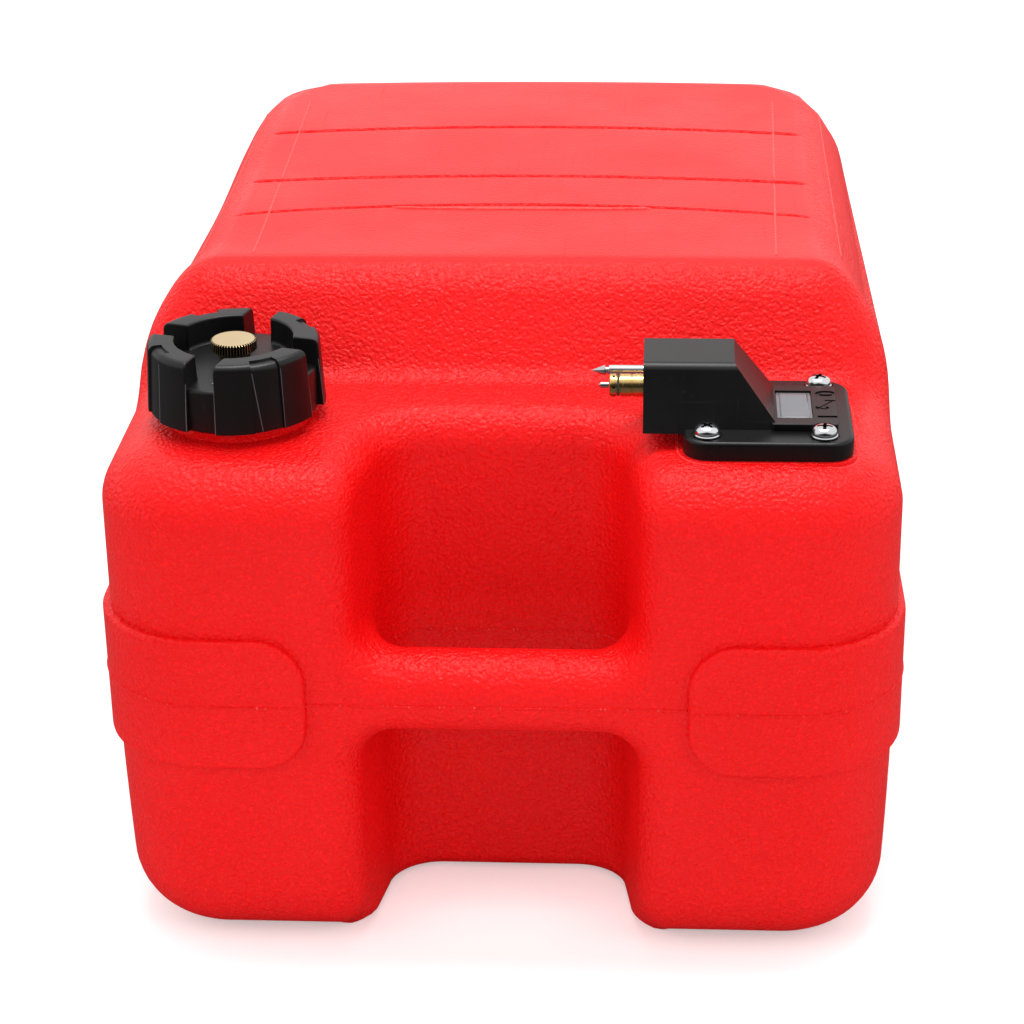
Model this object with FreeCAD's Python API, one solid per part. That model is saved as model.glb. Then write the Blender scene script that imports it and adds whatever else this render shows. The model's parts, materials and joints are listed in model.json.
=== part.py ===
"""Portable outboard fuel tank: a blow-moulded red tank with a vented filler cap and a
fuel meter that carries the hose connector, the pickup tube and the float.

Millimetres. X runs across the tank, Y from the front face (handle side) to the back and
Z up. The origin is on the floor, under the middle of the tank.
"""
import FreeCAD, Part
import math
import os
from FreeCAD import Vector

# ---- Tank: overall form ----
TANK_LENGTH = 411.0          # front face to back face at the parting line
TANK_WIDTH = 297.0           # side wall to side wall at the parting line
TANK_HEIGHT = 235.5          # upper deck above the floor
DECK_DROP = 38.5             # front deck, with the cap and the meter, below the upper deck
PARTING_HEIGHT = 108.0
WALL = 3.5
CORNER_RADIUS = 40.0         # upright corners
DECK_EDGE_RADIUS = 22.0
BASE_EDGE_RADIUS = 28.0
SIDE_LEAN = 20.0             # how far a side wall has curved in at the upper deck
SIDE_LEAN_HEIGHT = 48.0      # how far below the upper deck that starts
END_LEAN = 3.0               # the same for the front and back faces, above the parting line
BASE_LEAN = 2.5              # all faces, below the parting line
STEP_FOOT = 101.0            # front face to the foot of the step
STEP_ANGLE = 58.0
STEP_FOOT_RADIUS = 13.0
STEP_TOP_RADIUS = 24.0

# ---- Tank: hand channel and carrying bar ----
CHANNEL_DEPTH = 63.0
CHANNEL_MOUTH = 108.0
CHANNEL_BACK = 88.0
CHANNEL_CORNER_RADIUS = 20.0
CHANNEL_EDGE_RADIUS = 14.0   # rounding of the channel's mouth and of the bar's front edges
BAR_HEIGHT = 30.0
BAR_DEPTH = 27.0
BAR_REAR_RADIUS = 11.0
BAR_BLEND_RADIUS = 14.0

# ---- Tank: grip pads at the parting line ----
PAD_PROUD = 3.0
PAD_HEIGHT = 53.0
PAD_GAP = 141.0              # between the two pads on an end face
PAD_END_RADIUS = 18.0
PAD_EDGE_RADIUS = 2.0

# ---- Tank: creases across the upper deck ----
CREASE_FROM_FRONT = (205.0, 249.0, 316.0)
CREASE_HALF_LENGTH = 116.0
CREASE_DEPTH = 1.0
CREASE_WIDTH = 4.0

# ---- Filler neck and cap ----
CAP_FROM_SIDE = 49.0
CAP_FROM_FRONT = 64.0
NECK_BORE_RADIUS = 21.0
NECK_WALL = 4.0
NECK_HEIGHT = 15.5           # above the front deck
COLLAR_RADIUS = 27.5
COLLAR_HEIGHT = 3.0
CAP_CLEARANCE = 0.35         # cap skirt to neck, radial
CAP_BOTTOM_RADIUS = 33.3
CAP_TOP_RADIUS = 32.0
CAP_SKIRT_RADIUS = 31.0      # outside of the skirt between the grips
CAP_LIFT_OFF_COLLAR = 2.5
CAP_GRIP_HEIGHT = 10.0       # grips above the cap floor
CAP_ROOF = 3.5
CAP_WELL_RADIUS = 22.0       # recess inside the grips
CAP_GAP = 11.0               # width of the gap between two grips
CAP_GAP_TURN = -15.0         # first gap, degrees from the front towards +X
CAP_GRIPS = 4
CAP_PANEL_ANGLE = 20.0       # sunk panel in the middle of each grip
CAP_PANEL_DEPTH = 0.7
CAP_EDGE_RADIUS = 1.6
GASKET_THICKNESS = 2.5

# ---- Vent screw in the cap ----
VENT_KNOB_RADIUS = 8.5
VENT_KNOB_HEIGHT = 4.2
VENT_KNOB_BELOW_RIM = 1.0
VENT_STEM_RADIUS = 2.5
VENT_RUNNING_FIT = 0.08
VENT_BUSH_RADIUS = 5.0
VENT_BUSH_FLANGE = 1.0
VENT_BOSS_RADIUS = 7.5
VENT_TRAVEL = 3.0
VENT_RING_HEIGHT = 1.6
VENT_RING_RADIUS = 5.6
VENT_RING_CLEARANCE = 0.35
VENT_KNOB_BEVEL = 0.5
VENT_TIP_LENGTH = 1.5        # stem below the clip
VENT_TIP_BEVEL = 0.6
CLIP_RADIUS = 4.2
CLIP_THICKNESS = 1.0
CLIP_MOUTH = 0.7             # half the clip's mouth, as a share of its hole's radius

# ---- Fuel meter: housing on the front deck ----
METER_FROM_SIDE = 50.7
METER_FROM_FRONT = 54.3
PLATE_WIDTH = 61.4
PLATE_DEPTH = 61.5
PLATE_THICKNESS = 6.3
PLATE_CORNER_RADIUS = 9.5
PLATE_BEVEL = 1.3
SEAT_MARGIN = 2.2            # moulded seat beyond the plate, all round
SEAT_HEIGHT = 0.4            # above the front deck
SEAT_EDGE_RADIUS = 0.3
SEAL_THICKNESS = 0.8
METER_OPENING_RADIUS = 22.0
BLOCK_LEFT = -45.2           # left end of the connector block, from the meter's centre
BLOCK_RIGHT = -12.2          # where the top ends and the slope starts
BLOCK_FRONT = -19.1
BLOCK_DEPTH = 38.5           # front to back at its foot
BLOCK_HEIGHT = 22.8          # above the plate
BLOCK_FRONT_LEAN = 10.3
BLOCK_BACK_LEAN = 2.5
BLOCK_EDGE_RADIUS = 4.0
SLOPE_FOOT = 2.5             # right end of the slope, from the meter's centre
STEP_HEIGHT = 2.7            # raised field round the window, above the plate
STEP_RIGHT = 25.1
STEP_BACK = 18.2
STEP_CORNER_RADIUS = 4.0
WINDOW_LEFT = 3.2
WINDOW_WIDTH = 13.2
WINDOW_DEPTH = 26.0
WINDOW_THICKNESS = 2.0
WINDOW_LEDGE = 1.2
WINDOW_SUNK = 0.5
FIT_GAP = 0.1                # trapped parts in the same body

# ---- Meter: screws ----
SCREW_SPACING_X = 42.0
SCREW_SPACING_Y = 48.0
SCREW_OFFSET_X = -1.1        # pattern's middle from the plate's
SCREW_OFFSET_Y = 0.8
SCREW_RADIUS = 2.5
SCREW_HEAD_RADIUS = 4.6
SCREW_HEAD_HEIGHT = 3.2
SCREW_HEAD_ROUNDING = 0.75   # share of the head's height
SCREW_HEAD_ROOM = 1.0        # free height above a head
WASHER_RADIUS = 4.9
WASHER_THICKNESS = 0.9
WASHER_CLEARANCE = 0.3
INSERT_RADIUS = 3.6
INSERT_LENGTH = 9.0
INSERT_BOSS_WALL = 2.4

# ---- Meter: connector prongs ----
PRONG_DROP = 10.7            # prong axes below the block's top
NIPPLE_OFFSET = -6.2         # nipple axis from the meter's centre, front to back
PRONG_SPACING = 14.5
NIPPLE_RADIUS = 4.2
NIPPLE_ROOT_RADIUS = 4.8     # pressed into the block
NIPPLE_BORE_RADIUS = 2.9
NIPPLE_EXPOSED = 12.5
NIPPLE_BURIED = 14.0
NIPPLE_TIP_WALL = 1.6
NIPPLE_TIP_BEVEL = 0.6
NIPPLE_GROOVE = 0.6
NIPPLE_RING_WIDTH = 1.4
NIPPLE_RING_FROM_END = 3.4
GUIDE_RADIUS = 2.05
GUIDE_ROOT_RADIUS = 2.6
GUIDE_EXPOSED = 19.0
GUIDE_BURIED = 12.0
GUIDE_TIP_RADIUS = 0.3
GUIDE_HEAD_LENGTH = 4.6
GUIDE_NECK_LENGTH = 1.6
GUIDE_NECK_RADIUS = 1.3
GUIDE_NECK_BEVEL = 0.3
VALVE_PIN_RADIUS = 1.1
VALVE_PIN_PROUD = 3.6
VALVE_PIN_BEVEL = 0.6
VALVE_HEAD_RADIUS = 2.3
VALVE_HEAD_LENGTH = 1.6
VALVE_FIT = 0.08
SPRING_WIRE = 0.5
SPRING_TURNS = 6
FUEL_WAY_RADIUS = 2.2

# ---- Float gauge ----
DRUM_X = 9.8                 # middle of the drum, from the meter's centre
DRUM_RADIUS = 16.5
DRUM_WIDTH = 8.0
DRUM_BELOW_WINDOW = 1.0
DRUM_HUB_RADIUS = 4.5
DRUM_WALL = 2.0
PIVOT_RADIUS = 1.5
PIVOT_FIT = 0.08
EAR_THICKNESS = 2.4
EAR_GAP = 0.6                # between an ear and the drum
EAR_RADIUS = 4.4
ARM_RADIUS = 1.5
ARM_SEAT = 0.6               # between the pivot pin and the arm's end
ARM_END = 2.0                # arm beyond the last clip
ARM_REST_ANGLE = -70.0       # below the horizontal, tank empty
FLOAT_ABOVE_FLOOR = 24.6     # middle of the float above the tank's inside floor at rest
FLOAT_LENGTH = 42.0
FLOAT_WIDTH = 30.0
FLOAT_THICKNESS = 24.0
FLOAT_EDGE_RADIUS = 5.0
FLOAT_CLIP_RADIUS = 4.0
FLOAT_CLIP_THICKNESS = 1.2

# ---- Fuel pickup ----
PICKUP_X = -13.6             # from the meter's centre
SPIGOT_RADIUS = 3.6
SPIGOT_LENGTH = 15.0
PICKUP_INNER_RADIUS = 3.7
PICKUP_WALL = 1.6
PICKUP_ABOVE_FLOOR = 16.0    # open end of the tube above the tank's inside floor
PICKUP_BELOW_PLATE = 1.0
STRAINER_RADIUS = 8.0
STRAINER_WALL = 1.2
STRAINER_HEIGHT = 16.0
STRAINER_ABOVE_FLOOR = 3.0
STRAINER_SLOTS = 8
STRAINER_SLOT_WIDTH = 2.4
CLAMP_WIDTH = 5.0
CLAMP_THICKNESS = 0.8
CLAMP_BELOW_PLATE = 4.0

# ---- Places worked out from the sizes above ----
FRONT = -TANK_LENGTH / 2
FRONT_DECK_HEIGHT = TANK_HEIGHT - DECK_DROP
CAP_X = CAP_FROM_SIDE - TANK_WIDTH / 2
CAP_Y = FRONT + CAP_FROM_FRONT
METER_X = TANK_WIDTH / 2 - METER_FROM_SIDE
METER_Y = FRONT + METER_FROM_FRONT
NECK_RADIUS = NECK_BORE_RADIUS + NECK_WALL
NECK_TOP = FRONT_DECK_HEIGHT + NECK_HEIGHT
CAP_BOTTOM = FRONT_DECK_HEIGHT + COLLAR_HEIGHT + CAP_LIFT_OFF_COLLAR
CAP_ROOF_UNDER = NECK_TOP + GASKET_THICKNESS
CAP_FLOOR = CAP_ROOF_UNDER + CAP_ROOF
CAP_TOP = CAP_FLOOR + CAP_GRIP_HEIGHT
SEAT_TOP = FRONT_DECK_HEIGHT + SEAT_HEIGHT
PLATE_BOTTOM = SEAT_TOP + SEAL_THICKNESS
PLATE_TOP = PLATE_BOTTOM + PLATE_THICKNESS
BLOCK_TOP = PLATE_TOP + BLOCK_HEIGHT
PRONG_Z = BLOCK_TOP - PRONG_DROP
BLOCK_END_X = METER_X + BLOCK_LEFT
STEP_TOP = PLATE_TOP + STEP_HEIGHT
NIPPLE_Y = METER_Y + NIPPLE_OFFSET
GUIDE_Y = NIPPLE_Y + PRONG_SPACING
NIPPLE_TIP = BLOCK_END_X - NIPPLE_EXPOSED
VALVE_SEAT = NIPPLE_TIP + NIPPLE_TIP_WALL
SPRING_START = VALVE_SEAT + VALVE_HEAD_LENGTH
SPRING_END = BLOCK_END_X + NIPPLE_BURIED / 2
WINDOW_TOP = STEP_TOP - WINDOW_SUNK
WINDOW_BOTTOM = WINDOW_TOP - WINDOW_THICKNESS
PIVOT_Z = WINDOW_BOTTOM - WINDOW_LEDGE - DRUM_BELOW_WINDOW - DRUM_RADIUS
INSIDE_FLOOR = WALL
INSIDE_DECK = FRONT_DECK_HEIGHT - WALL
ARM_DROP = PIVOT_Z - INSIDE_FLOOR - FLOAT_ABOVE_FLOOR
ARM_LENGTH = ARM_DROP / -math.sin(math.radians(ARM_REST_ANGLE))
SCREW_PLACES = [
    (METER_X + SCREW_OFFSET_X + sx * SCREW_SPACING_X / 2,
     METER_Y + SCREW_OFFSET_Y + sy * SCREW_SPACING_Y / 2)
    for sy in (-1, 1)
    for sx in (-1, 1)
]

# Reach of tools and cutters past what they cut
OVER = 40.0
FAR = 3 * max(TANK_LENGTH, TANK_WIDTH, TANK_HEIGHT)
TOUCH = 1e-3

# How faces are told apart, in degrees
WALL_TILT_ANGLE = 30         # at most this off upright on a wall half-way up
DECK_TILT_ANGLE = 66         # at most this off level on a deck and on the step
BASE_TILT_ANGLE = 25         # at most this off level on the base
CORNER_ANGLE = 66            # at least this between two walls that meet at a corner


# ---- Small helpers ----
def line(a, b):
    return Part.LineSegment(Vector(*a), Vector(*b)).toShape()


def arc(a, middle, b):
    return Part.Arc(Vector(*a), Vector(*middle), Vector(*b)).toShape()


def cylinder(radius, z_low, z_high, x=0.0, y=0.0):
    return Part.makeCylinder(radius, z_high - z_low, Vector(x, y, z_low))


def tube(outer, inner, z_low, z_high, x=0.0, y=0.0):
    return cylinder(outer, z_low, z_high, x, y).cut(cylinder(inner, z_low, z_high, x, y))


def rod_x(radius, x_low, x_high, y, z):
    return Part.makeCylinder(radius, x_high - x_low, Vector(x_low, y, z), Vector(1, 0, 0))


def box(x, y, z):
    """Box from three (low, high) pairs."""
    return Part.makeBox(x[1] - x[0], y[1] - y[0], z[1] - z[0], Vector(x[0], y[0], z[0]))


def middle_of(edge):
    return edge.valueAt((edge.FirstParameter + edge.LastParameter) / 2)


def is_upright(edge):
    a = edge.Vertexes[0].Point
    b = edge.Vertexes[-1].Point
    return abs(a.x - b.x) < TOUCH and abs(a.y - b.y) < TOUCH and abs(a.z - b.z) > TOUCH


def rounded_slab(width, depth, z_low, z_high, radius, x, y):
    """Rounded rectangle seen from above, centred on x, y."""
    slab = box((x - width / 2, x + width / 2), (y - depth / 2, y + depth / 2), (z_low, z_high))
    return slab.makeFillet(radius, [e for e in slab.Edges if is_upright(e)])


def edges_at_height(shape, z):
    def is_level(bounds):
        return abs(bounds.ZMin - z) < TOUCH and abs(bounds.ZMax - z) < TOUCH

    return [edge for edge in shape.Edges if is_level(edge.BoundBox)]


def face_normals(shape, edge):
    point = middle_of(edge)
    normals = []
    for face in shape.ancestorsOfType(edge, Part.Face):
        u, v = face.Surface.parameter(point)
        normals.append(face.normalAt(u, v))
    return normals


def shared_edges(shape, skin_a, skin_b):
    """Edges of shape that lie on both skins."""
    found = []
    for edge in shape.Edges:
        point = Part.Vertex(middle_of(edge))
        if skin_a.distToShape(point)[0] < TOUCH and skin_b.distToShape(point)[0] < TOUCH:
            found.append(edge)
    return found


def revolve_profile(points, x, y):
    """Closed (radius, z) outline turned about the upright axis at x, y."""
    outline = Part.makePolygon([Vector(r, 0, z) for r, z in points + points[:1]])
    solid = Part.Face(outline).revolve(Vector(0, 0, 0), Vector(0, 0, 1), 360)
    solid.translate(Vector(x, y, 0))
    return solid


def extruded(points, way):
    """Closed outline moved along way."""
    return Part.Face(Part.makePolygon([Vector(*point) for point in points + points[:1]])).extrude(way)


# ---- Tank ----
def lean_radius(height, lean):
    """Radius of an arc that is upright at one end and has leaned in after this height."""
    return (height ** 2 + lean ** 2) / (2 * lean)


def side_outline():
    """The tank seen from the side, in the YZ plane."""
    back = -FRONT
    parting = PARTING_HEIGHT
    upper = lean_radius(TANK_HEIGHT - parting, END_LEAN)
    lower = lean_radius(parting, BASE_LEAN)

    def lean(z):
        radius = upper if z > parting else lower
        return radius - math.sqrt(radius ** 2 - (z - parting) ** 2)

    def end_arc(y, side, z_a, z_b):
        z_m = (z_a + z_b) / 2
        a, m, b = [(0, y + side * lean(z), z) for z in (z_a, z_m, z_b)]
        return arc(a, m, b)

    turn = math.radians(STEP_ANGLE)
    rise = TANK_HEIGHT - FRONT_DECK_HEIGHT
    along = Vector(0, math.cos(turn), math.sin(turn))
    foot = Vector(0, FRONT + STEP_FOOT, FRONT_DECK_HEIGHT)
    top = foot + along * (rise / math.sin(turn))
    foot_reach = STEP_FOOT_RADIUS * math.tan(turn / 2)
    top_reach = STEP_TOP_RADIUS * math.tan(turn / 2)
    foot_start = foot - Vector(0, foot_reach, 0)
    top_end = top + Vector(0, top_reach, 0)
    half_turn = Vector(0, math.sin(turn / 2), -math.cos(turn / 2))
    foot_middle = foot_start + Vector(0, 0, STEP_FOOT_RADIUS) + half_turn * STEP_FOOT_RADIUS
    top_middle = top_end - Vector(0, 0, STEP_TOP_RADIUS) - half_turn * STEP_TOP_RADIUS
    front_corner = (0, FRONT + lean(FRONT_DECK_HEIGHT), FRONT_DECK_HEIGHT)
    back_corner = (0, back - lean(TANK_HEIGHT), TANK_HEIGHT)
    edges = [
        end_arc(FRONT, 1, 0, parting),
        end_arc(FRONT, 1, parting, FRONT_DECK_HEIGHT),
        line(front_corner, foot_start),
        arc(foot_start, foot_middle, foot + along * foot_reach),
        line(foot + along * foot_reach, top - along * top_reach),
        arc(top - along * top_reach, top_middle, top_end),
        line(top_end, back_corner),
        end_arc(back, -1, TANK_HEIGHT, parting),
        end_arc(back, -1, parting, 0),
        line((0, back - lean(0), 0), (0, FRONT + lean(0), 0)),
    ]
    return Part.Wire(edges)


def front_outline():
    """The tank's side walls seen from the front, in the XZ plane, past floor and deck."""
    half = TANK_WIDTH / 2
    lower = lean_radius(PARTING_HEIGHT, BASE_LEAN)
    upper = lean_radius(SIDE_LEAN_HEIGHT, SIDE_LEAN)
    z_low = -OVER / 2
    z_lean = TANK_HEIGHT - SIDE_LEAN_HEIGHT
    z_high = TANK_HEIGHT + WALL

    def wall_x(z):
        if z <= PARTING_HEIGHT:
            return half - lower + math.sqrt(lower ** 2 - (PARTING_HEIGHT - z) ** 2)
        return half - upper + math.sqrt(upper ** 2 - (z - z_lean) ** 2)

    def wall_arc(side, z_a, z_b):
        a, m, b = [(side * wall_x(z), 0, z) for z in (z_a, (z_a + z_b) / 2, z_b)]
        return arc(a, m, b)

    edges = [line((-wall_x(z_low), 0, z_low), (wall_x(z_low), 0, z_low))]
    for side in (1, -1):
        edges += [
            wall_arc(side, z_low, PARTING_HEIGHT),
            line((side * half, 0, PARTING_HEIGHT), (side * half, 0, z_lean)),
            wall_arc(side, z_lean, z_high),
        ]
    edges.append(line((wall_x(z_high), 0, z_high), (-wall_x(z_high), 0, z_high)))
    return Part.Wire(Part.__sortEdges__(edges))


def offset_outline(wire, inset):
    """The outline moved inwards, or outwards where inset is negative, with its corners kept."""
    return wire.makeOffset2D(-inset, 2) if inset else wire


def crossed_outlines(inset):
    """The two outlines run through each other, with the upright corners rounded."""
    side = Part.Face(offset_outline(side_outline(), inset)).extrude(Vector(FAR, 0, 0))
    side.translate(Vector(-FAR / 2, 0, 0))
    front = Part.Face(offset_outline(front_outline(), inset)).extrude(Vector(0, FAR, 0))
    front.translate(Vector(0, -FAR / 2, 0))
    body = side.common(front)
    corners = []
    for edge in body.Edges:
        normals = face_normals(body, edge)
        if len(normals) != 2 or max(abs(n.z) for n in normals) > math.sin(math.radians(WALL_TILT_ANGLE)):
            continue
        if abs(normals[0].dot(normals[1])) < math.cos(math.radians(CORNER_ANGLE)):
            corners.append(edge)
    return body.makeFillet(CORNER_RADIUS - inset, corners)


def is_deck(normal):
    """True on the decks and on the step between them."""
    return normal.z > math.cos(math.radians(DECK_TILT_ANGLE)) and abs(normal.x) < TOUCH


def is_base(normal):
    return normal.z < -math.cos(math.radians(BASE_TILT_ANGLE))


def rim_edges(body, is_flat):
    """Edges between the walls and the faces that is_flat picks by their normals."""
    found = []
    for edge in body.Edges:
        normals = face_normals(body, edge)
        if len(normals) == 2 and is_flat(normals[0]) != is_flat(normals[1]):
            found.append(edge)
    return found


def channel_air(inset):
    """The air in the hand channel: a tapered slot with the carrying bar left out of it."""
    back = FRONT + CHANNEL_DEPTH
    flare = (CHANNEL_MOUTH - CHANNEL_BACK) / 2 / CHANNEL_DEPTH
    half_out = CHANNEL_MOUTH / 2 + flare * OVER
    half_back = CHANNEL_BACK / 2
    y_out = FRONT - OVER
    corners = [(-half_out, y_out), (-half_back, back), (half_back, back), (half_out, y_out)]
    plan = Part.makePolygon([Vector(x, y, -OVER) for x, y in corners + corners[:1]])
    air = Part.Face(offset_outline(plan, -inset)).extrude(Vector(0, 0, TANK_HEIGHT + 2 * OVER))
    inner_corners = [e for e in air.Edges if is_upright(e) and middle_of(e).y > FRONT]
    air = air.makeFillet(CHANNEL_CORNER_RADIUS + inset, inner_corners)

    half_bar = BAR_HEIGHT / 2 - inset
    bar_rear = FRONT + BAR_DEPTH - inset
    heights = (PARTING_HEIGHT - half_bar, PARTING_HEIGHT + half_bar)
    bar = box((-FAR / 2, FAR / 2), (FRONT - 2 * OVER, bar_rear), heights)
    rear_edges = []
    for edge in bar.Edges:
        bounds = edge.BoundBox
        if bounds.XLength > OVER and abs(bounds.YMin - bar_rear) < TOUCH:
            rear_edges.append(edge)
    bar = bar.makeFillet(BAR_REAR_RADIUS - inset, rear_edges)
    slot = air.cut(bar)
    joins = []
    for edge in shared_edges(slot, bar.Shells[0], air.Shells[0]):
        if middle_of(edge).y > y_out - inset + TOUCH:
            joins.append(edge)
    return slot.makeFillet(BAR_BLEND_RADIUS + inset, joins)


def tank_form(inset):
    """The tank's rounded solid: inset 0 is the outside and WALL is the inside."""
    body = crossed_outlines(inset)
    body = body.makeFillet(DECK_EDGE_RADIUS - inset, rim_edges(body, is_deck))
    body = body.makeFillet(BASE_EDGE_RADIUS - inset, rim_edges(body, is_base))
    air = channel_air(inset)
    cut = body.cut(air)
    mouth = shared_edges(cut, body.Shells[0], air.Shells[0])
    radius = min(CHANNEL_EDGE_RADIUS, BAR_HEIGHT / 2 - TOUCH, BAR_DEPTH - BAR_REAR_RADIUS - TOUCH)
    return cut.makeFillet(radius - inset, mouth)


def pads():
    """Raised pads that wrap the corners at the parting line."""
    half = PAD_HEIGHT / 2
    band = rounded_slab(
        TANK_WIDTH + 2 * PAD_PROUD,
        TANK_LENGTH + 2 * PAD_PROUD,
        PARTING_HEIGHT - half - OVER / 2,
        PARTING_HEIGHT + half + OVER / 2,
        CORNER_RADIUS + PAD_PROUD,
        0,
        0,
    )
    windows = []
    for side in (-1, 1):
        reach = FAR / 2
        middle = side * (PAD_GAP / 2 + reach / 2)
        window = box(
            (middle - reach / 2, middle + reach / 2),
            (-FAR / 2, FAR / 2),
            (PARTING_HEIGHT - half, PARTING_HEIGHT + half),
        )
        ends = []
        for edge in window.Edges:
            point = middle_of(edge)
            if edge.BoundBox.YLength > OVER and abs(abs(point.x) - PAD_GAP / 2) < TOUCH:
                ends.append(edge)
        windows.append(window.makeFillet(PAD_END_RADIUS, ends))
    result = []
    for window in windows:
        pad = band.common(window)
        rim = shared_edges(pad, band.Shells[0], window.Shells[0])
        result.append(pad.makeFillet(PAD_EDGE_RADIUS, rim))
    return result


def crease(y):
    """Cutter for one shallow groove across the upper deck."""
    radius = (CREASE_DEPTH ** 2 + (CREASE_WIDTH / 2) ** 2) / (2 * CREASE_DEPTH)
    centre_z = TANK_HEIGHT - CREASE_DEPTH + radius
    groove = rod_x(radius, -CREASE_HALF_LENGTH, CREASE_HALF_LENGTH, y, centre_z)
    for side in (-1, 1):
        groove = groove.fuse(Part.makeSphere(radius, Vector(side * CREASE_HALF_LENGTH, y, centre_z)))
    return groove


def tank_shell():
    outside = tank_form(0)
    for pad in pads():
        outside = outside.fuse(pad)
    neck_root = cylinder(COLLAR_RADIUS, INSIDE_DECK, FRONT_DECK_HEIGHT + COLLAR_HEIGHT, CAP_X, CAP_Y)
    neck = cylinder(NECK_RADIUS, INSIDE_DECK, NECK_TOP, CAP_X, CAP_Y)
    seat = rounded_slab(
        PLATE_WIDTH + 2 * SEAT_MARGIN,
        PLATE_DEPTH + 2 * SEAT_MARGIN,
        FRONT_DECK_HEIGHT - WALL,
        SEAT_TOP,
        PLATE_CORNER_RADIUS + SEAT_MARGIN,
        METER_X,
        METER_Y,
    )
    seat = seat.makeFillet(SEAT_EDGE_RADIUS, edges_at_height(seat, SEAT_TOP))
    outside = outside.fuse([neck_root, neck, seat])
    for from_front in CREASE_FROM_FRONT:
        outside = outside.cut(crease(FRONT + from_front))
    shell = outside.cut(tank_form(WALL))
    boss_low = SEAT_TOP - INSERT_LENGTH - INSERT_BOSS_WALL
    boss_radius = INSERT_RADIUS + INSERT_BOSS_WALL
    shell = shell.fuse([cylinder(boss_radius, boss_low, INSIDE_DECK, x, y) for x, y in SCREW_PLACES])
    shell = shell.cut(cylinder(NECK_BORE_RADIUS, INSIDE_DECK - OVER / 2, NECK_TOP + OVER, CAP_X, CAP_Y))
    shell = shell.cut(cylinder(METER_OPENING_RADIUS, INSIDE_DECK - OVER / 2, NECK_TOP, METER_X, METER_Y))
    for x, y in SCREW_PLACES:
        shell = shell.cut(cylinder(INSERT_RADIUS, SEAT_TOP - INSERT_LENGTH, NECK_TOP, x, y))
    return shell


def threaded_inserts():
    low = SEAT_TOP - INSERT_LENGTH
    return [tube(INSERT_RADIUS, SCREW_RADIUS, low, SEAT_TOP, x, y) for x, y in SCREW_PLACES]


# ---- Cap ----
def grip_angles():
    step = 360 / CAP_GRIPS
    return [CAP_GAP_TURN + step * i for i in range(CAP_GRIPS)]


def turned_about_cap(shape, degrees):
    turned = shape.copy()
    turned.rotate(Vector(CAP_X, CAP_Y, 0), Vector(0, 0, 1), degrees)
    return turned


def filler_cap():
    cone = [(0, CAP_BOTTOM), (CAP_BOTTOM_RADIUS, CAP_BOTTOM), (CAP_TOP_RADIUS, CAP_TOP), (0, CAP_TOP)]
    body = revolve_profile(cone, CAP_X, CAP_Y)
    body = body.makeFillet(CAP_EDGE_RADIUS, edges_at_height(body, CAP_TOP))
    well = cylinder(CAP_WELL_RADIUS, CAP_FLOOR, CAP_TOP + OVER, CAP_X, CAP_Y)
    body = body.cut(well)
    boss_top = vent_bush_top() - VENT_BUSH_FLANGE
    body = body.fuse(cylinder(VENT_BOSS_RADIUS, CAP_ROOF_UNDER, boss_top, CAP_X, CAP_Y))
    half_panel = math.radians(CAP_PANEL_ANGLE / 2)
    low = CAP_BOTTOM - OVER
    high = CAP_TOP + OVER
    gap_x = (CAP_X - CAP_GAP / 2, CAP_X + CAP_GAP / 2)
    aside = 2 * CAP_BOTTOM_RADIUS * math.sin(half_panel)
    y_out = CAP_Y - 2 * CAP_BOTTOM_RADIUS * math.cos(half_panel)
    for angle in grip_angles():
        gap = box(gap_x, (CAP_Y - OVER, CAP_Y - CAP_WELL_RADIUS / 2), (CAP_FLOOR, high))
        relief = box(gap_x, (CAP_Y - OVER, CAP_Y), (low, high))
        relief = relief.cut(cylinder(CAP_SKIRT_RADIUS, low, high, CAP_X, CAP_Y))
        body = body.cut(turned_about_cap(gap.fuse(relief), angle))
        wedge = [(CAP_X, CAP_Y, low), (CAP_X - aside, y_out, low), (CAP_X + aside, y_out, low)]
        panel = extruded(wedge, Vector(0, 0, high - low))
        keep = revolve_profile(
            [
                (0, CAP_BOTTOM - 2 * OVER),
                (CAP_BOTTOM_RADIUS - CAP_PANEL_DEPTH, CAP_BOTTOM - 2 * OVER),
                (CAP_BOTTOM_RADIUS - CAP_PANEL_DEPTH, CAP_BOTTOM),
                (CAP_TOP_RADIUS - CAP_PANEL_DEPTH, CAP_TOP - CAP_PANEL_DEPTH),
                (0, CAP_TOP - CAP_PANEL_DEPTH),
            ],
            CAP_X, CAP_Y
        )
        body = body.cut(turned_about_cap(panel.cut(keep), angle + 180 / CAP_GRIPS))
    inside = cylinder(NECK_RADIUS + CAP_CLEARANCE, low, CAP_ROOF_UNDER, CAP_X, CAP_Y)
    body = body.cut(inside)
    return body.cut(cylinder(VENT_BUSH_RADIUS, CAP_ROOF_UNDER - OVER, CAP_TOP, CAP_X, CAP_Y))


def cap_gasket():
    return tube(NECK_RADIUS, NECK_BORE_RADIUS, NECK_TOP, CAP_ROOF_UNDER, CAP_X, CAP_Y)


def knob_low():
    return CAP_TOP - VENT_KNOB_BELOW_RIM - VENT_KNOB_HEIGHT


def vent_bush_top():
    return knob_low() - VENT_RING_HEIGHT


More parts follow.
